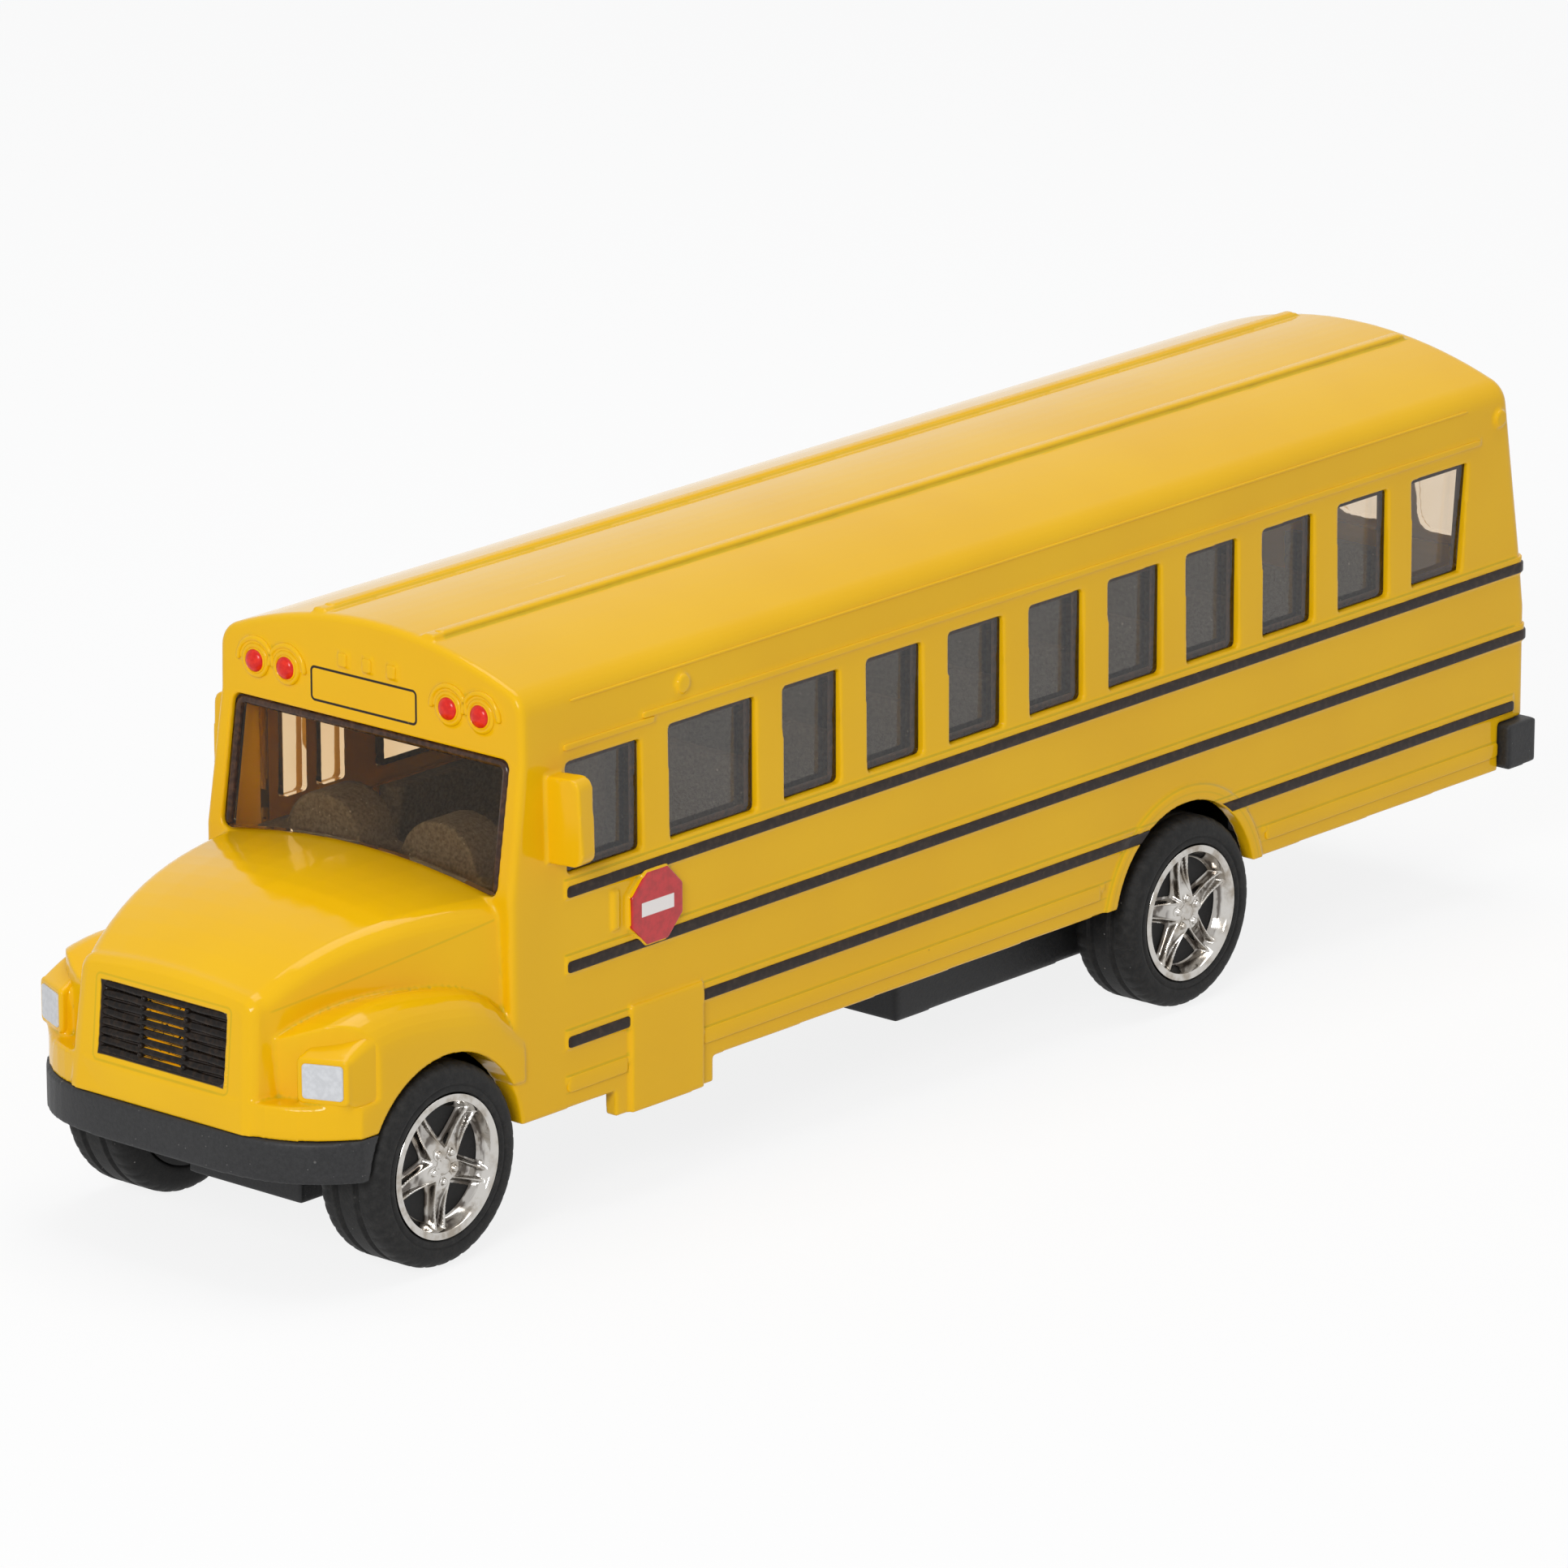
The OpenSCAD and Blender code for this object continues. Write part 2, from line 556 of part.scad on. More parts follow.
// Lamps and marker bumps over the windscreen
flasher_d = 1.85;
flasher_proud = 0.5;
bezel_d = 2.9;
bezel_proud = 0.25;
brow_r = 2.1;
brow_t = 0.45;
flasher_in = 4.75;       // outer lamps inside the body's sides
flasher_pitch = 3.6;
flasher_x = [half_w - flasher_in - flasher_pitch, half_w - flasher_in];
flasher_z = 45.6;
front_marker = [1, 1.2];
front_marker_x = 2.8;
front_marker_z = 47.5;
module flashers() {
    on_header() for (x = [each flasher_x, each -flasher_x]) translate([x, flasher_z, -wall / 2]) {
        cylinder(d = flasher_d, h = wall / 2 + flasher_proud, $fn = side_fn);
        cylinder(d = bezel_d, h = wall / 2 + bezel_proud, $fn = side_fn);
        intersection() {
            difference() {
                cylinder(r = brow_r, h = wall / 2 + bezel_proud, $fn = side_fn);
                translate([0, 0, -over]) cylinder(r = brow_r - brow_t, h = wall + 2 * over, $fn = side_fn);
            }
            translate([-brow_r, 0, 0]) cube([2 * brow_r, brow_r, wall]);
        }
    }
    on_header() for (x = [-front_marker_x, 0, front_marker_x])
        translate([x - front_marker[0] / 2, front_marker_z - front_marker[1] / 2, -wall / 2])
            cube([front_marker[0], front_marker[1], wall / 2 + bezel_proud]);
}

// Door mirrors on the front pillars
mirror_w = 4;
mirror_l = 2;
mirror_h = 7.6;
mirror_z = 33;
mirror_turn = 6;
mirror_y = driver_y - mirror_l - post_w / 5;
module door_mirror() {
    translate([half_w - side_lean, mirror_y, mirror_z]) rotate([0, -mirror_turn / 2, mirror_turn]) {
        translate([mirror_w / 2, mirror_l, mirror_h / 2]) rotate([90, 0, 0])
            linear_extrude(mirror_l) polygon(round_box(mirror_w, mirror_h, mirror_w / 4));
        translate([-wall / 2, 0, mirror_h / 3]) cube([mirror_w, mirror_l, mirror_h / 3]);
    }
}

module body_casting() {
    color("gold") difference() {
        union() {
            difference() {
                union() {
                    cabin_outside();
                    hood_outside();
                    both_sides() fender();
                    valance();
                    both_sides() headlamp();
                }
                cabin_inside();
                hood_inside();
            }
            bosses();
            rails([hatch_y - hatch_w / 2, hatch_y + hatch_w / 2]);
            mirror([1, 0, 0]) rails([driver_y - post_w / 4, driver_y + driver_w + post_w / 4]);
            tail_rails();
            both_sides() side_trim();
            both_sides() door_mirror();
            hatch();
            sign_plate();
            mirror([1, 0, 0]) door_frame();
            ribs();
            flashers();
            difference() {
                louvre_bars();
                hood_inside();
            }
        }
        difference() {
            grille_cut();
            louvre_bars();
        }
        boss_pilots();
        across(half_w - 2 * wall, body_w) window_shapes(0, true);
        across(-body_w, 2 * wall - half_w) {
            window_shapes(0, false);
            door_shapes(0);
        }
        difference() {
            on_screen() translate([0, 0, -2 * wall]) linear_extrude(2 * wall + over) screen_shape(0);
            hood_outside();
        }
        on_tail() translate([0, 0, -over]) linear_extrude(3 * wall) tail_shapes(0);
        both_sides() {
            shaft(front_arch_r, well_x, body_w, front_arch[0], front_arch[1]);
            shaft(rear_arch_r, well_x, body_w, rear_arch[0], rear_arch[1]);
        }
        block([-body_w, body_rear - rear_bumper_l + tail_gap - fit, 0],
              [body_w, rear_y + over, bumper_z + rear_bumper_h + fit]);
    }
}

// Smoked glazing: plates behind the openings, with panes that stand into them
pane_set = 0.35;         // panes lie this far inside the outer faces
strip_out = half_w - side_lean - wall - fit;
strip_in = strip_out - glass_t;
pane_out = half_w - side_lean - pane_set;
strip_edge = 1.4;        // how far a plate reaches past its windows
strip_z = sill_z - strip_edge;
strip_top = sill_z + win_h + strip_edge;
strip_front = driver_y - strip_edge;
strip_rear = row_end + strip_edge;
module left_window_strip() {
    color("saddlebrown") {
        block([strip_in, strip_front, strip_z], [strip_out, strip_rear, strip_top]);
        across(strip_out - glass_t / 2, pane_out) window_shapes(-fit, true);
    }
}
module right_window_strip() {
    color("saddlebrown") {
        block([-strip_out, strip_front, strip_z], [-strip_in, strip_rear, strip_top]);
        block([-strip_out, strip_front, door_low_z - strip_edge / 2],
              [-strip_in, driver_y + driver_w + strip_edge, sill_z]);
        across(-pane_out, glass_t / 2 - strip_out) {
            window_shapes(-fit, false);
            door_shapes(-fit);
        }
    }
}
screen_back = wall + 2 * fit;
module windscreen_glazing() {
    color("saddlebrown") {
        on_screen() translate([-strip_out + fit, 0, -screen_back - glass_t])
            cube([2 * (strip_out - fit), screen_h + strip_edge, glass_t]);
        difference() {
            on_screen() translate([0, 0, -screen_back - glass_t / 2])
                linear_extrude(screen_back + glass_t / 2 - pane_set) screen_shape(-fit);
            translate([0, 0, 2 * fit]) hood_outside();
        }
    }
}
module rear_glazing() {
    color("saddlebrown") on_tail() {
        translate([-rear_win_x - rear_win_w / 2 - strip_edge / 2, -strip_edge / 2, screen_back])
            cube([2 * rear_win_x + rear_win_w + strip_edge, rear_win_h + strip_edge, glass_t]);
        translate([0, 0, pane_set]) linear_extrude(screen_back + glass_t / 2 - pane_set) tail_shapes(-fit);
    }
}

// Motor: shafts, gears and case
case_wall = 1;
gear_gap = 0.25;         // room between gears and case
addendum_share = 0.8;    // tooth height above and below the pitch circle, in modules
dedendum_share = 1.1;
backlash = 0.12;
gear_t = 2;
gear_step = 2.8;         // from one gear plane to the next
pin_d = 1.6;
gear_x = motor_w / 2 - case_wall - gear_t - 2 * gear_gap;
function pitch_r(n) = gear_m * n / 2;
function tip_r(n) = pitch_r(n) + gear_m * addendum_share;
centre_l = pitch_r(pinion_n) + pitch_r(wheel_n);
gear_z = motor_z + case_wall + tip_r(wheel_n) + gear_gap;
rise = gear_z - rear_axle_z;
gear_a_y = rear_axle_y - sqrt(pow(centre_l, 2) - pow(rise, 2));
gear_b_y = gear_a_y - centre_l;
spring_y = gear_b_y - centre_l;
case_front = spring_y - tip_r(wheel_n) - gear_gap - case_wall;
case_rear = rear_axle_y + tip_r(pinion_n) + gear_gap + case_wall;
case_top = gear_z + tip_r(wheel_n) + gear_gap;
lid_top = case_top + seat + case_wall;
first_a = atan2(rise, gear_a_y - rear_axle_y);

// Gear outline with involute flanks, one tooth centred on the angle given
pressure = 20;
function inv(a) = tan(a) * 180 / PI - a;
function flank(n, r) =
    let (p = pitch_r(n), b = p * cos(pressure), q = max(r, b))
    90 / n - backlash / 2 / p * 90 / PI + inv(pressure) - inv(acos(min(1, b / q)));
function tooth_side(n) = let (root = pitch_r(n) - gear_m * dedendum_share)
    [for (i = [0:5]) let (r = mix(root, tip_r(n), i / 5)) [r, flank(n, r)]];
function gear_points(n, start) = [for (k = [0:n - 1]) let (c = start + 360 * k / n, side = tooth_side(n))
    each concat([for (p = side) p[0] * [cos(c - p[1]), sin(c - p[1])]],
                [for (i = [5:-1:0]) let (p = side[i]) p[0] * [cos(c + p[1]), sin(c + p[1])]])];
module gear(n, start, x0, x1, y, z) {
    translate([0, y, z]) across(x0, x1) polygon(gear_points(n, start));
}
module compound(x, y, wheel_start) {
    difference() {
        union() {
            gear(wheel_n, wheel_start, x, x + gear_t, y, gear_z);
            gear(pinion_n, 180, x - gear_step - gear_gap, x + gear_t / 2, y, gear_z);
        }
        shaft(pin_d / 2 + run, x - gear_step - gear_gap - over, x + gear_t + over, y, gear_z);
    }
}
module drive_pinion() {
    color("ivory") difference() {
        gear(pinion_n, first_a, gear_x - gear_gap, gear_x + gear_t + gear_gap, rear_axle_y, rear_axle_z);
        shaft(axle_r + press, gear_x - over, gear_x + gear_t + over, rear_axle_y, rear_axle_z);
    }
}
module reduction_gear_a() {
    color("ivory") compound(gear_x, gear_a_y, first_a + 180 + 180 / wheel_n);
}
module reduction_gear_b() {
    color("ivory") compound(gear_x - gear_step, gear_b_y, 180 / wheel_n);
}
hub_r = 1.7;
spring_end = gear_gap - motor_w / 2 + case_wall;
spring_x = gear_x - 2 * gear_step;
module spring_gear() {
    color("ivory") difference() {
        union() {
            gear(wheel_n, 180 / wheel_n, spring_x, spring_x + gear_t, spring_y, gear_z);
            shaft(hub_r, spring_end, spring_x + gear_t / 2, spring_y, gear_z);
        }
        shaft(pin_d / 2 + run, spring_end - over, spring_x + gear_t + over, spring_y, gear_z);
    }
}
spring_t = 0.28;
spring_gap = 0.35;       // room round the hub and inside the case
spring_steps = 24;       // points in each turn
spring_out = tip_r(wheel_n) - spring_gap;
function spring_r(i) = mix(hub_r + spring_gap, spring_out - spring_t, i / (spring_turns * spring_steps));
function spring_line(add) = [for (i = [0:spring_turns * spring_steps]) let (a = 360 * i / spring_steps)
    (spring_r(i) + add) * [cos(a), sin(a)]];
module mainspring() {
    back_line = spring_line(0);
    color("slategray") translate([0, spring_y, gear_z]) across(spring_end + spring_gap, spring_x - spring_gap)
        polygon(concat(spring_line(spring_t), [for (i = [len(back_line) - 1:-1:0]) back_line[i]]));
}
pin_sunk = 0.6;          // how far the pins enter the case walls
pin_end = motor_w / 2 - case_wall + pin_sunk;
module gear_pins() {
    color("silver") for (y = [gear_a_y, gear_b_y, spring_y])
        shaft(pin_d / 2, seat - pin_end, pin_end - seat, y, gear_z);
}
tray_half = strip_in - 3 * fit;
leg_t = 1.4;             // thickness of the tray's legs
leg_in = tray_half - leg_t;
flange_share = 0.69;     // part of the room up to the tray's legs that a flange takes
flange_w = (leg_in - motor_w / 2) * flange_share;
flange_t = 1.1;
flange_end = 1.5;        // flanges stop short of the rear wheel wells
module motor_case() {
    half = motor_w / 2;
    color("dimgray") difference() {
        union() {
            block([-half, case_front, motor_z], [half, case_rear, case_top]);
            block([-half - flange_w, case_front + flange_end, boss_floor],
                  [half + flange_w, rear_arch[0] - rear_arch_r - flange_end, boss_floor + flange_t]);
        }
        block([case_wall - half, case_front + case_wall, motor_z + case_wall],
              [half - case_wall, case_rear - case_wall, case_top + over]);
        shaft(axle_r + run, -half - over, half + over, rear_axle_y, rear_axle_z);
        for (y = [gear_a_y, gear_b_y, spring_y]) shaft(pin_d / 2 + press, -pin_end, pin_end, y, gear_z);
    }
}
module motor_lid() {
    color("gray") block([-motor_w / 2, case_front, case_top + seat], [motor_w / 2, case_rear, lid_top]);
}

// Chassis with both bumpers
bumper_t = 2.2;
bumper_l = 8.6;
lug_w = 2;
lug_r = 2.2;
box_z = 5.4;             // underside of the axle box
lug_out = well_x - fit;
head_h = 1.3;
plate_half = half_w - wall - 2 * fit;
module screw_holes() {
    for (y = [front_boss_y, rear_boss_y]) translate([0, y, 0]) {
        translate([0, 0, skirt_z - pad_drop - over]) {
            cylinder(d = screw_d + 2 * fit, h = pad_drop + plate_t + 2 * over);
            cylinder(d = screw_head_d + 2 * fit, h = pad_drop + over);
        }
    }
}
module front_bumper() {
    translate([0, 0, bumper_z]) difference() {
        linear_extrude(bumper_h - seat) polygon(swept(0, bumper_w / 2, front_y + bumper_l));
        translate([0, 0, plate_top - bumper_z])
            linear_extrude(bumper_h)
                polygon(swept(bumper_t, bumper_w / 2 - bumper_t, front_y + bumper_l + over));
    }
}
module chassis_base() {
    color("dimgray") difference() {
        union() {
            front_bumper();
            block([-lug_out, front_y + bumper_l - bumper_t, skirt_z],
                  [lug_out, cowl_y + 2 * wall, plate_top]);
            block([-plate_half, cowl_y + wall + 2 * fit, skirt_z],
                  [plate_half, body_rear - wall - 2 * fit, plate_top]);
            block([-rear_bumper_w / 2, rear_y - rear_bumper_l, bumper_z],
                  [rear_bumper_w / 2, rear_y, bumper_z + rear_bumper_h]);
            block([-box_w / 2, front_axle_y - box_l / 2, box_z],
                  [box_w / 2, front_axle_y + box_l / 2, plate_top]);
            block([-chin_w / 2, front_boss_y - chin_l / 2, skirt_z - pad_drop],
                  [chin_w / 2, front_axle_y, skirt_z + wall]);
            translate([0, rear_boss_y, skirt_z - pad_drop]) cylinder(d = boss_d, h = pad_drop + plate_t);
            both_sides() {
                block([lug_out - lug_w, front_axle_y - lug_r, front_axle_z],
                      [lug_out, front_axle_y + lug_r, plate_top]);
                shaft(lug_r, lug_out - lug_w, lug_out, front_axle_y, front_axle_z);
            }
        }
        shaft(axle_r + run, -body_w, body_w, front_axle_y, front_axle_z);
        screw_holes();
        block([-motor_w / 2 - 2 * fit, case_front - 2 * fit, 0],
              [motor_w / 2 + 2 * fit, case_rear + 2 * fit, roof_z]);
        both_sides() {
            shaft(front_arch_r, well_x, body_w, front_arch[0], front_arch[1]);
            shaft(rear_arch_r, well_x, body_w, rear_arch[0], rear_arch[1]);
        }
    }
}
slot_w = 0.5;
slot_l = 2.2;
slot_depth = 0.6;
module chassis_screws() {
    color("silver") for (y = [front_boss_y, rear_boss_y]) translate([0, y, skirt_z - seat]) difference() {
        union() {
            cylinder(d = screw_d, h = plate_t + screw_bite);
            translate([0, 0, -head_h]) cylinder(d = screw_head_d, h = head_h);
        }
        for (a = [0, 90]) rotate([0, 0, a])
            translate([-slot_l / 2, -slot_w / 2, -head_h - over]) cube([slot_l, slot_w, slot_depth + over]);
    }
}

// Cabin tray: floor, legs, seats, dash and steering wheel
floor_t = 1.2;
floor_z = lid_top + 2 * fit;
floor_top = floor_z + floor_t;
tray_front = cowl_y + screen_back + glass_t + 10 * fit;
tray_rear = rear_boss_y - boss_d / 2 - 3 * fit;
seat_l = 5.4;
seat_h = 5;
seat_back_t = 1.4;
seat_back_z = 35;
aisle = 6.4;
dash_l = 4.6;
dash_z = sill_z - rail_h;
mound_r = 4.4;
mound_x = 6.6;
wheel_r = 3;
wheel_t = 0.9;
wheel_tilt = 55;
column_l = 4;
column_r = 0.6;
wheel_x = 7.4;
module tray_seat(y) {
    block([aisle / 2, y, floor_z], [tray_half, y + seat_l, floor_top + seat_h]);
    block([aisle / 2, y + seat_l - seat_back_t, floor_z], [tray_half, y + seat_l, seat_back_z]);
}
module cabin_interior() {
    color("gray") {
        block([-tray_half, tray_front, floor_z], [tray_half, tray_rear, floor_top]);
        both_sides() {
            block([leg_in, wide_y, floor_z], [strip_out - fit, tray_rear, strip_z - seat]);
            for (r = [[wide_y, rear_arch[0] - rear_arch_r - flange_end],
                      [rear_arch[0] + rear_arch_r + flange_end, tray_rear]])
                block([leg_in, r[0], boss_floor], [tray_half, r[1], floor_top]);
            for (i = [0:small_windows - 1]) tray_seat(row_y + win_pitch * i - post_w - seat_l / 2);
        }
        block([-tray_half, tray_front, floor_z], [tray_half, tray_front + dash_l, dash_z]);
        for (x = [-mound_x, mound_x]) translate([x, tray_front, dash_z]) rotate([-90, 0, 0])
            cylinder(r = mound_r, h = dash_l);
        translate([wheel_x, tray_front + dash_l - wheel_t, dash_z - wheel_t])
        rotate([wheel_tilt - 90, 0, 0]) {
            cylinder(r = column_r, h = column_l);
            translate([0, 0, column_l - wheel_t]) cylinder(r = wheel_r, h = wheel_t);
        }
    }
}

// Wheels: tyre, hub and plated rim, drawn about the origin with the outer face towards +X
rim_r = rim_d / 2;
rim_t = 1.5;
core_out = tyre_out - rim_t;
hub_play = 0.5;          // end play of a wheelset in its bearings
core_in = lug_out + hub_play;
tread_round = 1.3;
groove_w = 0.4;
groove_depth = 0.25;
groove_x = 1.15;
core_hub_r = 2.4;
core_rim_t = 1;
core_dish = 3;
axle_sunk = 0.5;         // axle ends reach this far into the rims
rim_ring_w = 0.85;
spokes = 5;
spoke_w = 0.55;
spoke_spread = 11;       // half angle between the two bars of a spoke, in degrees
lip_set = 0.3;           // inner edge of the ring below its outer edge
spoke_set = 0.55;        // spokes below the outer face
hub_set = 0.4;           // middle of the rim below the outer face
rim_hub_r = 1.95;
rim_cap_r = 0.7;
lug_dot_r = 0.32;
lug_ring_r = 1.35;
dot_proud = 0.2;
tyre_mid = (tyre_out + tyre_in) / 2;
function groove(x) = [[tyre_r, x - groove_w / 2], [tyre_r - groove_depth, x - groove_w / 2],
                      [tyre_r - groove_depth, x + groove_w / 2], [tyre_r, x + groove_w / 2]];
module tyre_shape() {
    c = tyre_r - tread_round;
    rotate([90, 0, 90]) rotate_extrude($fn = 96) polygon(concat(
        [[rim_r + press, tyre_in]], arc([c, tyre_in + tread_round], tread_round, -90, 0, 4),
        groove(tyre_mid - groove_x), groove(tyre_mid + groove_x),
        arc([c, tyre_out - tread_round], tread_round, 0, 90, 4), [[rim_r + press, tyre_out]]));
}
module core_shape() {
    rotate([90, 0, 90]) rotate_extrude($fn = 64) polygon([
        [axle_r + press, core_in], [core_hub_r, core_in], [core_hub_r, tyre_in + core_dish],
        [rim_r - core_rim_t, tyre_in + core_dish], [rim_r - core_rim_t, tyre_in], [rim_r, tyre_in],
        [rim_r, core_out], [axle_r + press, core_out]]);
}
module rim_shape() {
    face = core_out + seat;
    bar_l = rim_r - rim_ring_w / 2;
    rotate([90, 0, 90]) difference() {
        union() {
            rotate_extrude($fn = 64) polygon([[rim_r - rim_ring_w, face], [rim_r, face],
                [rim_r, tyre_out], [rim_r - rim_ring_w, tyre_out - lip_set]]);
            for (k = [0:spokes - 1], a = [-spoke_spread, spoke_spread]) rotate([0, 0, 360 * k / spokes + a])
                translate([0, -spoke_w / 2, face + seat]) cube([bar_l, spoke_w, tyre_out - spoke_set - face]);
            translate([0, 0, face]) cylinder(r = rim_hub_r, h = tyre_out - hub_set - face);
            translate([0, 0, face + seat]) cylinder(r = rim_cap_r, h = tyre_out + dot_proud - hub_set - face);
            for (k = [0:spokes - 1]) rotate([0, 0, 360 * (k + 0.5) / spokes])
                translate([lug_ring_r, 0, face + seat])
                    cylinder(r = lug_dot_r, h = tyre_out + dot_proud - hub_set - face, $fn = 16);
        }
        translate([0, 0, core_out - over]) cylinder(r = axle_r + press, h = axle_sunk + over + seat);
    }
}
module at_front_axle() {
    translate([0, front_axle_y, front_axle_z]) children();
}
module at_rear_axle() {
    translate([0, rear_axle_y, rear_axle_z]) children();
}
module axle_rod(y, z) {
    color("silver") shaft(axle_r, -core_out - axle_sunk, core_out + axle_sunk, y, z);
}
module front_axle() {
    axle_rod(front_axle_y, front_axle_z);
}
module rear_axle() {
    axle_rod(rear_axle_y, rear_axle_z);
}
module tyre() {
    color("black") tyre_shape();
}
module core() {
    color("dimgray") core_shape();
}
module rim() {
    color("silver") rim_shape();
}

module tyre_front_left() {
    at_front_axle() tyre();
}
module tyre_front_right() {
    at_front_axle() mirror([1, 0, 0]) tyre();
}
module tyre_rear_left() {
    at_rear_axle() tyre();
}
module tyre_rear_right() {
    at_rear_axle() mirror([1, 0, 0]) tyre();
}
module core_front_left() {
    at_front_axle() core();
}
module core_front_right() {
    at_front_axle() mirror([1, 0, 0]) core();
}
module core_rear_left() {
    at_rear_axle() core();
}
module core_rear_right() {
    at_rear_axle() mirror([1, 0, 0]) core();
}
module rim_front_left() {
    at_front_axle() rim();
}
module rim_front_right() {
    at_front_axle() mirror([1, 0, 0]) rim();
}
module rim_rear_left() {
    at_rear_axle() rim();
}
module rim_rear_right() {
    at_rear_axle() mirror([1, 0, 0]) rim();
}

on_ground() body_casting();
on_ground() windscreen_glazing();
on_ground() left_window_strip();
on_ground() right_window_strip();
on_ground() rear_glazing();
on_ground() cabin_interior();
on_ground() chassis_base();
on_ground() chassis_screws();
on_ground() motor_case();
on_ground() motor_lid();
on_ground() drive_pinion();
on_ground() reduction_gear_a();
on_ground() reduction_gear_b();
on_ground() spring_gear();
on_ground() mainspring();
on_ground() gear_pins();
on_ground() front_axle();
on_ground() rear_axle();
on_ground() tyre_front_left();
on_ground() tyre_front_right();
on_ground() tyre_rear_left();
on_ground() tyre_rear_right();
on_ground() core_front_left();
on_ground() core_front_right();
on_ground() core_rear_left();
on_ground() core_rear_right();
on_ground() rim_front_left();
on_ground() rim_front_right();
on_ground() rim_rear_left();
on_ground() rim_rear_right();
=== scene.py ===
import math
import bpy
import numpy as np
from mathutils import Matrix, Vector


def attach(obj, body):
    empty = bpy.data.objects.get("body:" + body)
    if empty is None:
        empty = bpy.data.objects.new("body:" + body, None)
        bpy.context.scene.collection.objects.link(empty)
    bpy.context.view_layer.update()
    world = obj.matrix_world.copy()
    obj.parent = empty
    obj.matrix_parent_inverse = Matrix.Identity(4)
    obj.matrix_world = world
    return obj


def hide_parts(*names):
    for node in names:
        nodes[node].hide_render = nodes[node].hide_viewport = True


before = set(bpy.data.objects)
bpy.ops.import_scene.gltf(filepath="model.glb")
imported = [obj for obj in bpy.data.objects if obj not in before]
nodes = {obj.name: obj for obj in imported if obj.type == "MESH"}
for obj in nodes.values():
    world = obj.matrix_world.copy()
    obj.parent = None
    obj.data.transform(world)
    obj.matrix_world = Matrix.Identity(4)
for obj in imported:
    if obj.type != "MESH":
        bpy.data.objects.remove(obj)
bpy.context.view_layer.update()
scene = bpy.context.scene
print("frame:", len(nodes), "nodes")

# The body is described level, in mm, and tipped by the rake about the middle of the bumper
body = {"rake": math.radians(0.98), "pivot": 12.95, "halfW": 17.65, "headerY": -55.98,
        "noseY": -82.15, "noseLean": math.radians(7), "bumperTop": 14.8, "grilleMid": 6.7,
        "grilleFoot": 3.5, "cowlY": -57.8, "screenZ": 30.7, "screenLean": math.radians(8.9),
        "railZ": 16.78, "pitch": 6.6, "rear": (82.4, 82.4, 81.84), "rearRound": 1.2,
        "arch": (31.6, 8.65), "hatch": (-38.7, 4.7), "sign": (-40.18, 26.4)}


# Body mm to metres in the shared frame: turn about X at the pivot, then divide by a thousand
def ground(p):
    p = np.asarray(p, float)
    c, s = math.cos(body["rake"]), math.sin(body["rake"])
    y, z = p[..., 1], p[..., 2] - body["pivot"]
    return np.stack([p[..., 0], y * c - z * s, body["pivot"] + y * s + z * c], -1) / 1000


# Smooth step: 0 below a, 1 above b, and 3t^2 - 2t^3 between
def ease(a, b, x):
    t = np.clip((x - a) / (b - a), 0, 1)
    return t * t * (3 - 2 * t)


# A node output that can be added, multiplied and compared with others or with numbers
class Sock:
    def __init__(self, tree, out):
        self.tree, self.out = tree, out

    def math(self, kind, *others, first=None):
        n = self.tree.nodes.new("ShaderNodeMath")
        n.operation = kind
        for slot, v in zip(n.inputs, ((self,) if first is None else (first, self)) + others):
            if isinstance(v, Sock):
                self.tree.links.new(v.out, slot)
            else:
                slot.default_value = v
        return Sock(self.tree, n.outputs[0])

    def __add__(self, o):
        return self.math("ADD", o)

    def __sub__(self, o):
        return self.math("SUBTRACT", o)

    def __mul__(self, o):
        return self.math("MULTIPLY", o)

    def __truediv__(self, o):
        return self.math("DIVIDE", o)

    def __radd__(self, o):
        return self.math("ADD", o)

    def __rsub__(self, o):
        return self.math("SUBTRACT", first=o)

    def __rmul__(self, o):
        return self.math("MULTIPLY", o)

    def abs(self):
        return self.math("ABSOLUTE")

    def power(self, o):
        return self.math("POWER", o)

    def most(self, o):
        return self.math("MAXIMUM", o)

    # 0 to 1 as the value goes from a to b, eased
    def ramp(self, a, b):
        n = self.tree.nodes.new("ShaderNodeMapRange")
        n.interpolation_type = "SMOOTHSTEP"
        self.tree.links.new(self.out, n.inputs["Value"])
        n.inputs["From Min"].default_value, n.inputs["From Max"].default_value = min(a, b), max(a, b)
        n.inputs["To Min"].default_value, n.inputs["To Max"].default_value = (0, 1) if a < b else (1, 0)
        return Sock(self.tree, n.outputs["Result"])

    # 1 where the value is nearer 0 than half, with a soft edge
    def within(self, half, soft):
        return self.abs().ramp(half + soft, half - soft)

    # 1 along the line where the value is 0, fading from core out to half
    def line(self, half, core=0.03):
        return self.abs().ramp(half, core)


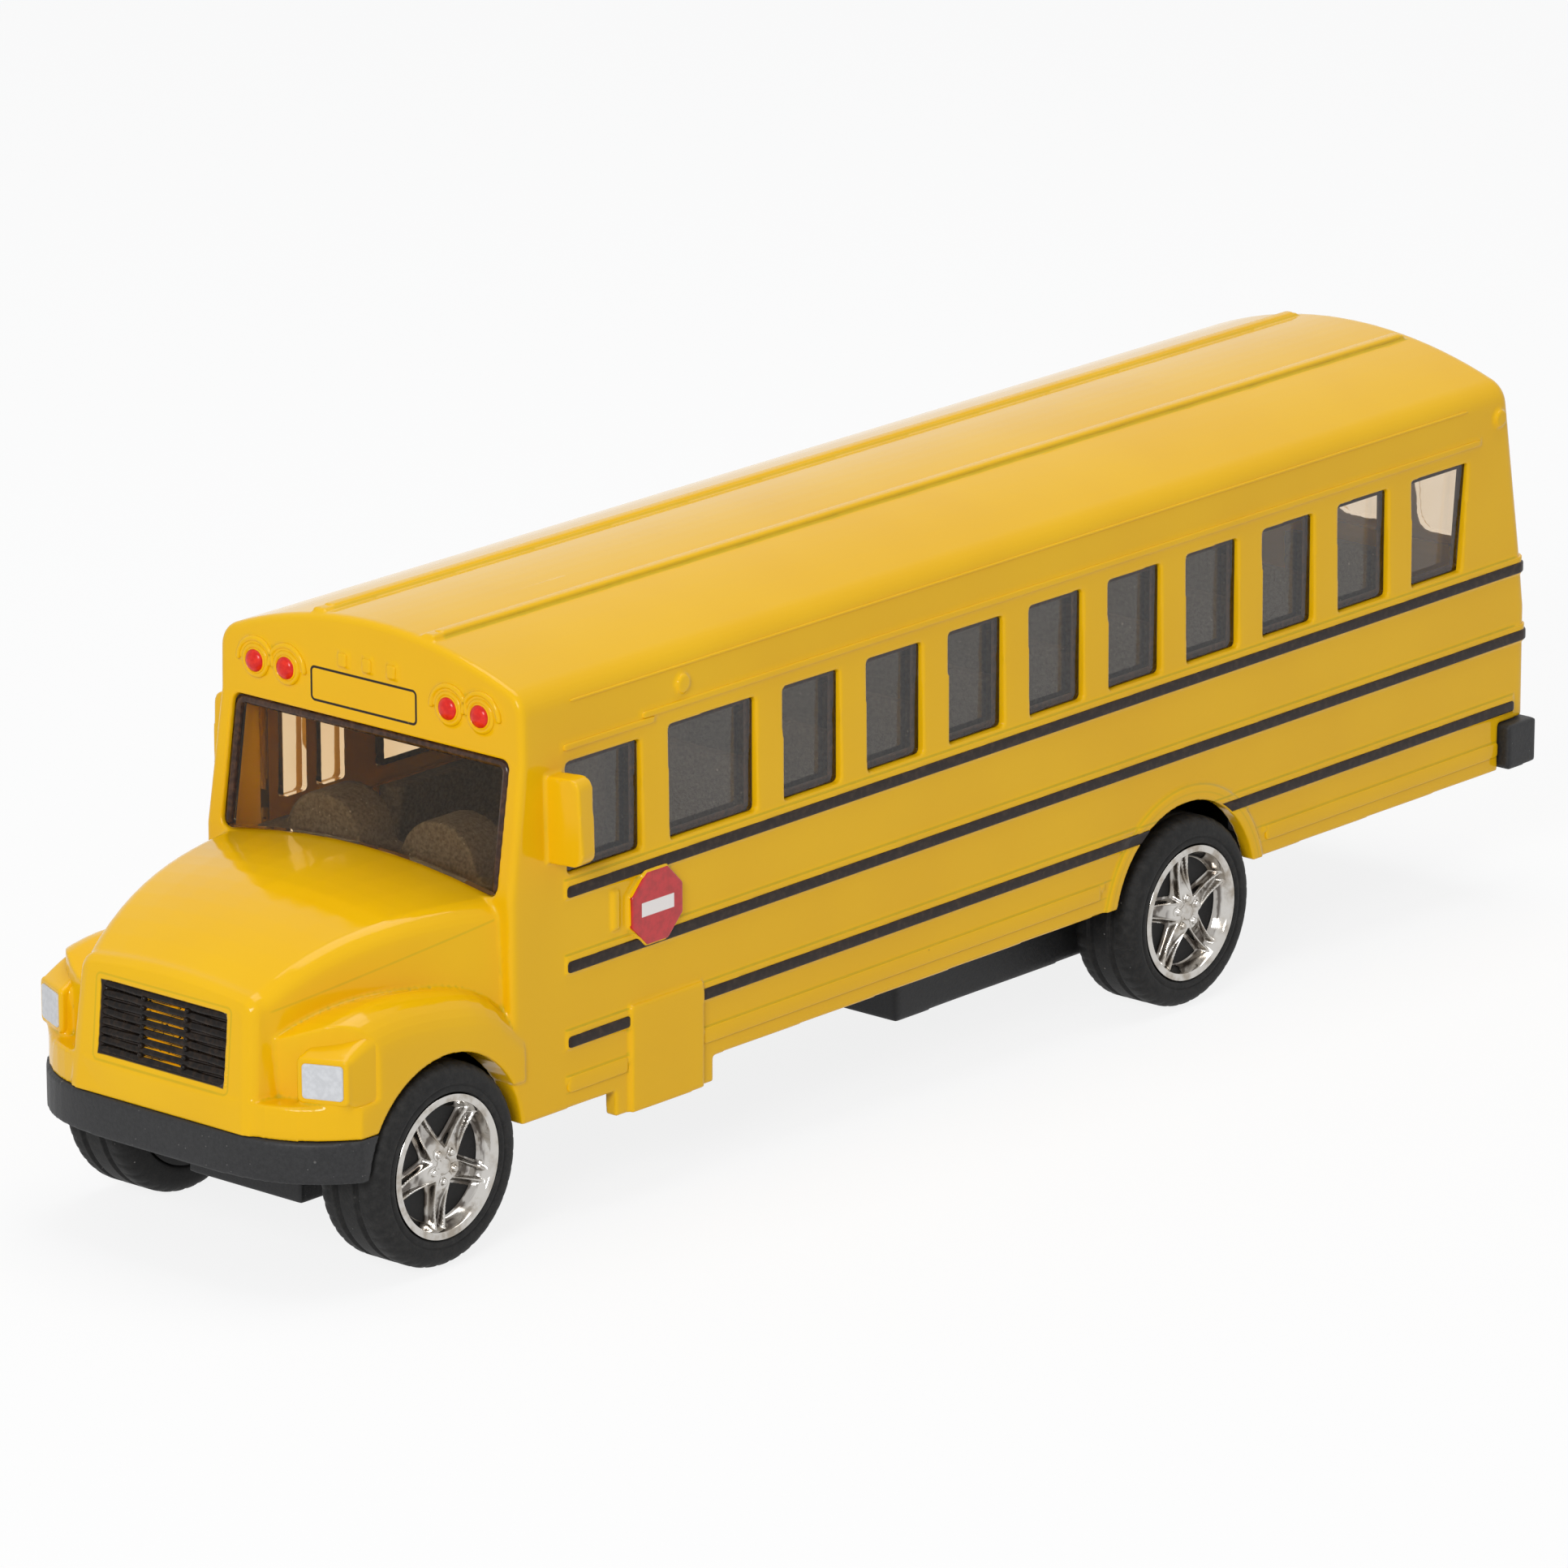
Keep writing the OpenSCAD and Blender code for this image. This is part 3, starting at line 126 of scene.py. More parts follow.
# A material with one main shader; its values are set on the shader's own sockets
class Finish:
    def __init__(self, name, **values):
        self.mat = bpy.data.materials.new(name)
        self.mat.use_nodes = True
        self.tree = self.mat.node_tree
        self.tree.nodes.clear()
        self.main = self.tree.nodes.new("ShaderNodeBsdfPrincipled")
        self.end = self.tree.nodes.new("ShaderNodeOutputMaterial")
        self.tree.links.new(self.main.outputs[0], self.end.inputs["Surface"])
        for k, v in values.items():
            self.main.inputs[k.replace("_", " ")].default_value = v if np.isscalar(v) else (*v, 1)

    # Any node: its settings, its inputs by name, and the output that is used
    def node(self, kind, out=0, settings=(), **inputs):
        n = self.tree.nodes.new("ShaderNode" + kind)
        for k, v in dict(settings).items():
            setattr(n, k, v)
        for k, v in inputs.items():
            slot = n.inputs[k.replace("_", " ")]
            if isinstance(v, Sock):
                self.tree.links.new(v.out, slot)
            else:
                slot.default_value = v
        return Sock(self.tree, n.outputs[out])

    # Object coordinates in body mm: turned back by the rake about the pivot
    def place(self):
        a, p = body["rake"], body["pivot"]
        obj = self.node("TexCoord", "Object")
        return self.node("Mapping", Vector=obj, Scale=(1000, 1000, 1000), Rotation=(-a, 0, 0),
                         Location=(0, -p * math.sin(a), p - p * math.cos(a)))

    def axes(self, vec):
        n = self.tree.nodes.new("ShaderNodeSeparateXYZ")
        self.tree.links.new(vec.out, n.inputs[0])
        return [Sock(self.tree, o) for o in n.outputs]

    def noise(self, vec, scale, detail=3, rough=0.55):
        return self.node("TexNoise", "Fac", Vector=vec, Scale=scale, Detail=detail, Roughness=rough)

    # Sparse round specks: a cell's own random number chooses it, and its distance gives the disc
    def specks(self, vec, scale, share, size):
        n = self.tree.nodes.new("ShaderNodeTexVoronoi")
        self.tree.links.new(vec.out, n.inputs["Vector"])
        n.inputs["Scale"].default_value = scale
        pick = self.axes(Sock(self.tree, n.outputs["Color"]))[0]
        disc = Sock(self.tree, n.outputs["Distance"]).ramp(size, size * 0.5)
        return disc * pick.ramp(1 - share, 1 - share + 0.01)

    def blend(self, amount, a, b):
        n = self.tree.nodes.new("ShaderNodeMix")
        n.data_type = "RGBA"
        for slot, v in ((n.inputs[0], amount), (n.inputs[6], a), (n.inputs[7], b)):
            if isinstance(v, Sock):
                self.tree.links.new(v.out, slot)
            else:
                slot.default_value = v if np.isscalar(v) else (*v, 1)
        return Sock(self.tree, n.outputs[2])

    def set(self, **links):
        for k, v in links.items():
            self.tree.links.new(v.out, self.main.inputs[k.replace("_", " ")])
        return self

    def bump(self, height, strength, distance):
        n = self.tree.nodes.new("ShaderNodeBump")
        n.inputs["Strength"].default_value = strength
        n.inputs["Distance"].default_value = distance
        self.tree.links.new(height.out, n.inputs["Height"])
        self.tree.links.new(n.outputs[0], self.main.inputs["Normal"])
        return self


# Thick gloss enamel: yellow, with painted shade, darker and greener, in hollows, creases and along trim, a
# painted highlight on convex edges, dust specks and printed areas
def yellowPaint():
    v = {"yellow": (0.82, 0.47, 0.003), "deep": (0.79, 0.44, 0.003), "shadeTone": (0.50, 0.36, 0.006),
         "edge": (0.88, 0.50, 0.02), "ink": (0.018, 0.011, 0.008), "speck": (0.12, 0.05, 0.01),
         "plaque": (-0.6, 44.8, 6.0, 1.45), "corner": 0.4, "line": 0.11, "ledge": 1.1, "doorEnd": -40.2,
         "bead": ((12.28, 0.4), (13.8, 0.8)), "lip": ((11.45, 0.8), (10.75, 0.4)), "lipFoot": 11.0,
         "grille": (7.25, 3.2, 0.5), "grilleShadeShare": 0.7, "crease": (29.05, 0.188), "creaseShadeShare": 0.6,
         "ribs": ((7.05, 0.9), (5.55, 0.5)), "edgeHighlightShare": 0.4}
    f = Finish("yellow_enamel", Roughness=0.1, Specular_IOR_Level=0.2)
    p = f.place()
    x, y, z = f.axes(p)
    base = f.blend(f.noise(p, 0.05, 2).ramp(0.3, 0.7), v["yellow"], v["deep"])
    groove = f.node("Attribute", "Fac", settings={"attribute_name": "groove"})
    # painted shade lines on the flanks: over the rail ledges, beside the bead and round the rear arch
    flank = x.abs().ramp(17.0, 17.3) * y.ramp(80.6, 80.0) * y.ramp(-51.4, -51.1)
    archY, archZ = body["arch"]
    ring = ((y - archY).power(2) + (z - archZ).power(2)).power(0.5)
    hatchY, hatchHalf = body["hatch"]
    hatch = (y - hatchY).within(hatchHalf, 0.05) * x.ramp(0, 1)
    plain = (1 - hatch) * (1 - x.ramp(0, -1) * y.ramp(v["doorEnd"] + 0.1, v["doorEnd"] - 0.1))
    trimShade = 0 * x
    for i in range(3):
        over = (z - body["railZ"] - body["pitch"] * i - v["ledge"]).line(0.15)
        trimShade = trimShade.most(over if i else over * plain)
    for q, much in v["bead"]:
        over = (z - q).line(0.13) * ring.ramp(11.4, 11.6) * y.ramp(78.1, 77.9)
        trimShade = trimShade.most(over * plain * much)
    for r, much in v["lip"]:
        foot = z.ramp(v["lipFoot"] - 0.1, v["lipFoot"] + 0.1)
        trimShade = trimShade.most((ring - r).line(0.14) * foot * much)
    # grille: inked panel on the nose inside a rounded groove line of painted shade, by height up the
    # leaning face
    c, s = math.cos(body["noseLean"]), math.sin(body["noseLean"])
    gw, gh, away = v["grille"]
    up = (y - body["noseY"]) * s + (z - body["bumperTop"]) * c
    front = y.ramp(-80.2, -80.5)
    gx, gz = x.abs() - gw, (up - body["grilleMid"]).abs() - gh
    rim = ((gx.most(0).power(2) + gz.most(0).power(2)).power(0.5) - away).line(0.14, 0.04) * front
    panel = gx.most(gz).ramp(0.06, -0.06) * front
    # painted shade along the crease on each side of the hood, and at the feet of the roof ribs
    height, slope = v["crease"]
    creaseShade = (z - height - (y - body["cowlY"]) * slope).line(0.16) * v["creaseShadeShare"]
    creaseShade = creaseShade * y.ramp(-58.0, -58.3) * y.ramp(-79.6, -79.0) * x.abs().ramp(9.5, 10)
    roof = z.ramp(49.5, 50) * y.ramp(77.5, 77) * y.ramp(-54.4, -54.0)
    for at, much in v["ribs"]:
        creaseShade = creaseShade.most((x.abs() - at).line(0.22, 0.05) * roof * much)
    # painted shade: a darker, greener yellow in hollows (by the groove bend), along the trim lines, round
    # the grille groove and in the creases, made patchy by noise
    uneven = 0.45 + 0.55 * f.noise(p, 0.8)
    paintedShade = groove.ramp(0.3, 1.2).most(flank * trimShade).most(rim * v["grilleShadeShare"]).most(creaseShade)
    base = f.blend(paintedShade * uneven, base, v["shadeTone"])
    # painted highlight: a paler yellow on convex edges, where the surface bends outwards
    base = f.blend((0 - groove).ramp(0.6, 1.8) * v["edgeHighlightShare"], base, v["edge"])
    base = f.blend(f.specks(p, 0.11, 0.05, 0.022), base, v["speck"])
    base = f.blend(panel, base, v["ink"])
    # printed outline over the windscreen: distance to a rounded box, kept within the line's width
    cx, cz, hx, hz = v["plaque"]
    r = v["corner"]
    dx = ((x - cx).abs() - (hx - r)).most(0)
    dz = ((z - cz).abs() - (hz - r)).most(0)
    line = ((dx.power(2) + dz.power(2)).power(0.5) - r).within(v["line"], 0.03)
    worn = f.noise(p, 2.5, 4).ramp(0.25, 0.34)
    base = f.blend(line * y.ramp(-54.9, -55.1) * worn, base, v["ink"])
    f.set(Base_Color=base, Roughness=0.07 + 0.08 * f.noise(p, 0.6, 4))
    return f.bump(f.noise(p, 0.25, 2) + 0.1 * f.noise(p, 3.0, 2), 0.06, 0.0002).mat


# Brush-black print on the rails: brown-black, patchy gloss
def railPaint():
    v = {"black": (0.020, 0.012, 0.009), "worn": (0.045, 0.029, 0.020)}
    f = Finish("rail_black", Roughness=0.35, Specular_IOR_Level=0.2)
    p = f.place()
    n = f.noise(p, 1.6, 5)
    f.set(Base_Color=f.blend(n.ramp(0.42, 0.75), v["black"], v["worn"]), Roughness=0.26 + 0.2 * n)
    return f.bump(f.noise(p, 5.0, 3), 0.06, 0.0001).mat


# Gloss black on the louvres, rubbed through to thin yellow slits between the two columns of studs
def grillePaint():
    v = {"black": (0.008, 0.006, 0.005), "brown": (0.030, 0.018, 0.011), "slit": (0.80, 0.40, 0.006),
         "halfW": 2.25, "louvre": 0.8}
    f = Finish("grille_black", Roughness=0.2, Specular_IOR_Level=0.15)
    p = f.place()
    x, y, z = f.axes(p)
    n = f.noise(p, 2.0, 4)
    c, s = math.cos(body["noseLean"]), math.sin(body["noseLean"])
    up = (y - body["noseY"]) * s + (z - body["bumperTop"]) * c
    phase = ((up - body["grilleFoot"]) / v["louvre"]).math("FRACT")
    slit = (phase - 0.5).abs().ramp(0.37, 0.42) * x.abs().ramp(v["halfW"], v["halfW"] - 0.15)
    slit = slit * n.ramp(0.36, 0.44)
    base = f.blend(n.ramp(0.4, 0.75), v["black"], v["brown"])
    f.set(Base_Color=f.blend(slit, base, v["slit"]), Roughness=0.12 + 0.14 * n)
    return f.bump(f.noise(p, 6.0, 2), 0.06, 0.0001).mat


# Smoked clear plastic with a few fine scratches in its gloss
def smokedPlastic(name, tint, deep, ior):
    f = Finish(name, Roughness=0.04, IOR=ior, Transmission_Weight=1.0)
    p = f.place()
    streak = f.node("Mapping", Vector=p, Scale=(0.5, 0.5, 4.0), Rotation=(0.6, 0.2, 0.3))
    n = f.noise(streak, 1.3, 6, 0.7)
    base = f.blend(f.noise(p, 0.12, 2).ramp(0.3, 0.7), tint, deep)
    f.set(Base_Color=base, Roughness=0.02 + 0.1 * n.ramp(0.55, 0.8))
    return f.bump(f.noise(p, 0.5, 2), 0.03, 0.0002).mat


# Moulded plastic: spark-eroded grain, paler dust specks, gloss that varies with the grain
def mouldedPlastic(name, low, high, grain, rough, dust=None):
    f = Finish(name, Roughness=rough, Specular_IOR_Level=0.35)
    p = f.place()
    n = f.noise(p, grain, 5, 0.65)
    base = f.blend(n.ramp(0.3, 0.7), low, high)
    if dust:
        base = f.blend(f.specks(p, 1.1, 0.12, 0.16) + f.specks(p, 2.6, 0.08, 0.2), base, dust)
    f.set(Base_Color=base, Roughness=rough - 0.08 + 0.16 * n)
    return f.bump(n, 0.3, 0.00012).mat


# Tyre rubber: matt black, mould grain, grey dust lying on it in specks and faint smears
def tyreRubber():
    v = {"black": (0.012, 0.012, 0.012), "grey": (0.028, 0.027, 0.026), "dust": (0.20, 0.19, 0.18)}
    f = Finish("tyre_rubber", Roughness=0.6, Specular_IOR_Level=0.2)
    p = f.place()
    n = f.noise(p, 1.4, 6, 0.7)
    base = f.blend(n.ramp(0.35, 0.75), v["black"], v["grey"])
    smear = f.noise(f.node("Mapping", Vector=p, Scale=(0.3, 1.6, 1.6)), 0.6, 5, 0.7)
    base = f.blend(smear.ramp(0.6, 0.85) * 0.22, base, v["dust"])
    base = f.blend(f.specks(p, 1.3, 0.10, 0.13) + f.specks(p, 0.7, 0.05, 0.09), base, v["dust"])
    f.set(Base_Color=base, Roughness=0.52 + 0.2 * n)
    return f.bump(f.noise(p, 5.0, 4), 0.25, 0.0001).mat


# Vacuum plating: bright metal with slight ripples, warmer patches, and painted shade down in the dish,
# broken into dark streaks
def plating():
    v = {"bright": (0.58, 0.56, 0.53), "warm": (0.36, 0.32, 0.27), "dark": (0.055, 0.042, 0.034),
         "dish": (17.6, 17.3)}
    f = Finish("chrome_plating", Metallic=1.0, Roughness=0.1)
    p = f.place()
    x = f.axes(p)[0]
    n = f.noise(p, 0.6, 4)
    streak = f.noise(f.node("Mapping", Vector=p, Scale=(2.4, 0.7, 0.7)), 1.0, 2, 0.4)
    base = f.blend(n.ramp(0.42, 0.7), v["bright"], v["warm"])
    # painted shade: the recessed dish of the wheel is darkened, more where the streak noise is high
    inner = x.abs().ramp(*v["dish"])
    base = f.blend((0.3 + 0.55 * streak.ramp(0.46, 0.58)) * inner, base, v["dark"])
    f.set(Base_Color=base, Roughness=0.06 + 0.12 * n.ramp(0.4, 0.8))
    return f.bump(f.noise(p, 0.9, 2), 0.04, 0.0002).mat


# Turned or rolled steel: fine lines along one axis in tone and gloss
def metal(name, low, high, rough):
    f = Finish(name, Metallic=1.0, Roughness=rough)
    p = f.place()
    n = f.noise(f.node("Mapping", Vector=p, Scale=(6, 0.6, 0.6)), 2.0, 5)
    f.set(Base_Color=f.blend(n, low, high), Roughness=rough - 0.08 + 0.16 * n)
    return f.bump(n, 0.1, 0.00005).mat


# Smooth paint on lamps, pane edges and hubs, changing tone in patches as the coat does
def lampPaint(name, low, high, rough):
    f = Finish(name, Roughness=rough, Specular_IOR_Level=0.3)
    p = f.place()
    n = f.noise(p, 2.2, 4)
    f.set(Base_Color=f.blend(n.ramp(0.35, 0.7), low, high), Roughness=rough - 0.05 + 0.14 * n)
    return f.bump(n, 0.1, 0.0001).mat


# Red sign face with a plain pale bar across its middle
def signPaint():
    v = {"red": (0.55, 0.012, 0.018), "dark": (0.42, 0.01, 0.014), "white": (0.82, 0.78, 0.76),
         "halfL": 2.05, "halfH": 0.62, "soft": 0.04}
    f = Finish("sign_print", Roughness=0.3, Coat_Weight=0.2)
    p = f.place()
    y, z = f.axes(p)[1:]
    n = f.noise(p, 1.5, 4)
    base = f.blend(n.ramp(0.35, 0.7), v["red"], v["dark"])
    atY, atZ = body["sign"]
    bar = (y - atY).within(v["halfL"], v["soft"]) * (z - atZ).within(v["halfH"], v["soft"])
    f.set(Base_Color=f.blend(bar, base, v["white"]), Roughness=0.24 + 0.14 * n)
    return f.bump(n, 0.08, 0.0001).mat


paints = {
    "yellow": yellowPaint(), "rail": railPaint(), "grille": grillePaint(), "sign": signPaint(),
    "smoke": smokedPlastic("smoked_glazing", (0.90, 0.82, 0.72), (0.86, 0.76, 0.63), 1.49),
    "screen": smokedPlastic("screen_glazing", (0.97, 0.80, 0.56), (0.94, 0.72, 0.46), 1.22),
    "amber": lampPaint("glazing_rim", (0.030, 0.013, 0.007), (0.075, 0.034, 0.017), 0.2),
    "black": mouldedPlastic("black_plastic", (0.014, 0.014, 0.015), (0.024, 0.024, 0.025), 3.0, 0.5,
                            (0.10, 0.097, 0.093)),
    "grey": mouldedPlastic("grey_plastic", (0.05, 0.05, 0.052), (0.13, 0.13, 0.132), 3.2, 0.7,
                           (0.30, 0.30, 0.30)),
    "gear": mouldedPlastic("gear_plastic", (0.70, 0.66, 0.54), (0.80, 0.76, 0.64), 1.5, 0.4),
    "tyre": tyreRubber(), "chrome": plating(),
    "hub": lampPaint("hub_black", (0.005, 0.005, 0.005), (0.012, 0.011, 0.011), 0.55),
    "steel": metal("turned_steel", (0.45, 0.45, 0.46), (0.68, 0.68, 0.69), 0.3),
    "spring": metal("spring_steel", (0.25, 0.27, 0.32), (0.42, 0.44, 0.50), 0.32),
    "red": lampPaint("lamp_red", (0.62, 0.010, 0.006), (0.76, 0.025, 0.010), 0.2),
    "silver": lampPaint("lens_silver", (0.54, 0.55, 0.57), (0.62, 0.63, 0.65), 0.3),
}
print("materials:", len(paints))


# Quads of a grid of points in rows, closed round when asked, plus flat caps on the end rows
def gridMesh(name, pts, closeRows=False, closeCols=True, capFirst=False, capLast=False, keep=None):
    n, m = pts.shape[:2]
    i = np.arange(n if closeRows else n - 1)[:, None]
    j = np.arange(m if closeCols else m - 1)[None, :]
    a, b = i * m + j, i * m + (j + 1) % m
    c, d = ((i + 1) % n) * m + (j + 1) % m, ((i + 1) % n) * m + j
    quads = np.stack([a, b, c, d], -1).reshape(-1, 4)
    if keep is not None:
        quads = quads[keep.reshape(-1)]
    faces = quads.tolist()
    if capFirst:
        faces.append(list(range(m - 1, -1, -1)))
    if capLast:
        faces.append([(n - 1) * m + k for k in range(m)])
    me = bpy.data.meshes.new(name)
    me.from_pydata(pts.reshape(-1, 3).tolist(), [], faces)
    me.validate()
    return me


# One property of every point, corner or face as an array
def read(items, key, width=1, kind=np.float32):
    out = np.empty(len(items) * width, kind)
    items.foreach_get(key, out)
    return out.reshape(-1, width) if width > 1 else out


# One mesh from several: their points, corners and faces one after another
def joined(name, meshes):
    counts = np.cumsum([0] + [len(me.vertices) for me in meshes])
    corners = np.cumsum([0] + [len(me.loops) for me in meshes])
    co = np.concatenate([read(me.vertices, "co", 3) for me in meshes])
    loops = np.concatenate([read(me.loops, "vertex_index", 1, np.int32) + q
                            for me, q in zip(meshes, counts)])
    starts = np.concatenate([read(me.polygons, "loop_start", 1, np.int32) + q
                             for me, q in zip(meshes, corners)])
    out = bpy.data.meshes.new(name)
    out.vertices.add(len(co))
    out.vertices.foreach_set("co", co.ravel())
    out.loops.add(len(loops))
    out.loops.foreach_set("vertex_index", loops.astype(np.int32))
    out.polygons.add(len(starts))
    out.polygons.foreach_set("loop_start", starts.astype(np.int32))
    out.update(calc_edges=True)
    out.validate()
    return out


# A piece of the object: smooth, on a body, standing for CAD nodes and taking a slot's finish
def piece(name, mesh, rides, mat, stands=()):
    mesh.materials.clear()
    mesh.materials.append(mat)
    mesh.shade_smooth()
    ob = bpy.data.objects.new(name, mesh)
    scene.collection.objects.link(ob)
    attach(ob, rides)
    if stands:
        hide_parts(*stands)
    return ob


# Piece on the shell, made of several meshes
def onShell(name, meshes, mat):
    piece(name, joined(name, meshes), "bus_body", paints[mat])


# Mesh after a row of modifiers
def worked(mesh, *mods):
    ob = bpy.data.objects.new("work", mesh)
    scene.collection.objects.link(ob)
    for kind, values in mods:
        m = ob.modifiers.new(kind.lower(), kind)
        for k, v in values.items():
            setattr(m, k, v)
    out = bpy.data.meshes.new_from_object(ob.evaluated_get(bpy.context.evaluated_depsgraph_get()))
    bpy.data.objects.remove(ob)
    return out


# Copy of a CAD mesh with its corners merged
def cadCopy(name):
    return worked(nodes[name].data.copy(), ("WELD", {"merge_threshold": 1e-6}))


# Copy of a CAD node made again in small cells and smoothed, so that its edges are rounded as cast
def castCopy(name, voxel, passes, limit):
    me = worked(cadCopy(name), ("REMESH", {"mode": "VOXEL", "voxel_size": voxel, "adaptivity": 0}),
                ("SMOOTH", {"factor": 0.5, "iterations": passes}))
    count = 2 * len(me.polygons)
    if count > limit:
        me = worked(me, ("DECIMATE", {"decimate_type": "COLLAPSE", "ratio": limit / count}))
    return me


# Outlines: each gives the points for an inset d
def roundRect(a, b, r, k=6):
    t = np.linspace(0, math.pi / 2, k + 1)
    ang = np.concatenate([t + q * math.pi / 2 for q in range(4)])
    sx = np.repeat([1, -1, -1, 1], k + 1)
    sy = np.repeat([1, 1, -1, -1], k + 1)

    def at(d):
        q = max(r - d, 0.02)
        cx, cy = max(a - d - q, 0), max(b - d - q, 0)
        return np.stack([sx * cx + q * np.cos(ang), sy * cy + q * np.sin(ang)], -1)
    return at


def ringOutline(r, m=36):
    ang = np.arange(m) * 2 * math.pi / m
    return lambda d: max(r - d, 0.001) * np.stack([np.cos(ang), np.sin(ang)], -1)


def octagon(w, r=0.35, k=4):
    mid = np.repeat(math.pi / 4 * (np.arange(8) + 0.5), k + 1)
    ang = mid + np.tile(np.linspace(-math.pi / 8, math.pi / 8, k + 1), 8)

    def at(d):
        c = (w / 2 - r) / math.cos(math.pi / 8) * (1 - d / (w / 2))
        return np.stack([c * np.cos(mid) + r * np.cos(ang), c * np.sin(mid) + r * np.sin(ang)], -1)
    return at


# Raised pad: rings of the outline, each inset and lifted by its step, closed on top
def pad(name, centre, u, v, outline, steps):
    u, v = np.array(u, float), np.array(v, float)
    n = np.cross(u, v)
    rows = [np.array(centre) + outline(d) @ np.stack([u, v]) + h * n for d, h in steps]
    return gridMesh(name, ground(np.stack(rows)), capLast=True)


# Rounded edge for a pad: a quarter of a circle of radius r up to height h
def edgeSteps(h, r, sunk=0.15, k=5):
    a = np.linspace(0, math.pi / 2, k + 1)
    rise = [(0, -sunk), (0, max(h - r, -sunk / 2))]
    rise += [(r * (1 - math.cos(t)), h - r + r * math.sin(t)) for t in a[1:]]
    return rise + [(r + 0.25, h)]


# Tube along points: a circle across the path at each point, with round ends where the path is open
def tube(name, path, radius, sides=14, closed=False, up=(0, 0, 1)):
    path = np.asarray(path, float)
    step = np.roll(path, -1, 0) - np.roll(path, 1, 0)
    if not closed:
        step[0], step[-1] = path[1] - path[0], path[-1] - path[-2]
        t = np.linspace(0.1, math.pi / 2, 5)[:-1]
        back = radius * np.cos(t)[:, None]
        step /= np.linalg.norm(step, axis=1, keepdims=True)
        path = np.concatenate([path[0] - step[0] * back, path, path[-1] + step[-1] * back[::-1]])
        rad = np.concatenate([radius * np.sin(t), np.full(len(step), radius), radius * np.sin(t)[::-1]])
        step = np.concatenate([np.tile(step[0], (len(t), 1)), step, np.tile(step[-1], (len(t), 1))])
    else:
        step /= np.linalg.norm(step, axis=1, keepdims=True)
        rad = np.full(len(path), radius)
    side = np.cross(step, np.array(up, float))
    side /= np.linalg.norm(side, axis=1, keepdims=True)
    rise = np.cross(side, step)
    a = np.arange(sides)[None, :, None] * 2 * math.pi / sides
    pts = path[:, None] + rad[:, None, None] * (np.cos(a) * side[:, None] + np.sin(a) * rise[:, None])
    ends = not closed
    return gridMesh(name, ground(pts[:, ::-1]), closeRows=closed, capFirst=ends, capLast=ends)


# Trim bar: a low rounded section carried along a path in plan, standing out along the path's normal;
# over the last bit at each end it draws in as a quarter circle
def bar(name, plan, z, h, proud, r=0.2, sunk=0.25, shape=None, end=0.45):
    plan = np.asarray(plan, float)
    e = end * np.array((0, 0.13, 0.35, 0.67, 1))[:, None]
    head, tail = plan[1] - plan[0], plan[-2] - plan[-1]
    head, tail = plan[0] + e * head / np.linalg.norm(head), plan[-1] + e * tail / np.linalg.norm(tail)
    plan = np.concatenate([head, plan[1:-1], tail[::-1]])
    draw = 0.4 + 0.6 * np.sqrt(1 - (1 - e / end) ** 2)
    draw = np.concatenate([draw, np.ones((len(plan) - 2 * len(e), 1)), draw[::-1]])
    step = np.gradient(plan, axis=0)
    step /= np.linalg.norm(step, axis=1, keepdims=True)
    out = np.stack([step[:, 1], -step[:, 0]], -1)
    t = np.linspace(0, math.pi / 2, 5)
    o = np.concatenate([[-sunk], proud - r + r * np.sin(t), proud - r + r * np.cos(t), [-sunk]])
    k = np.concatenate([[h / 2], h / 2 - r + r * np.cos(t), r - h / 2 - r * np.sin(t), [-h / 2]])
    flat = plan[:, None] + out[:, None] * np.where(o > 0, o * draw, o)[..., None]
    pts = np.concatenate([flat, (z + k * draw)[..., None]], -1)
    pts = pts if shape is None else shape(pts)
    return gridMesh(name, ground(pts), capFirst=True, capLast=True)
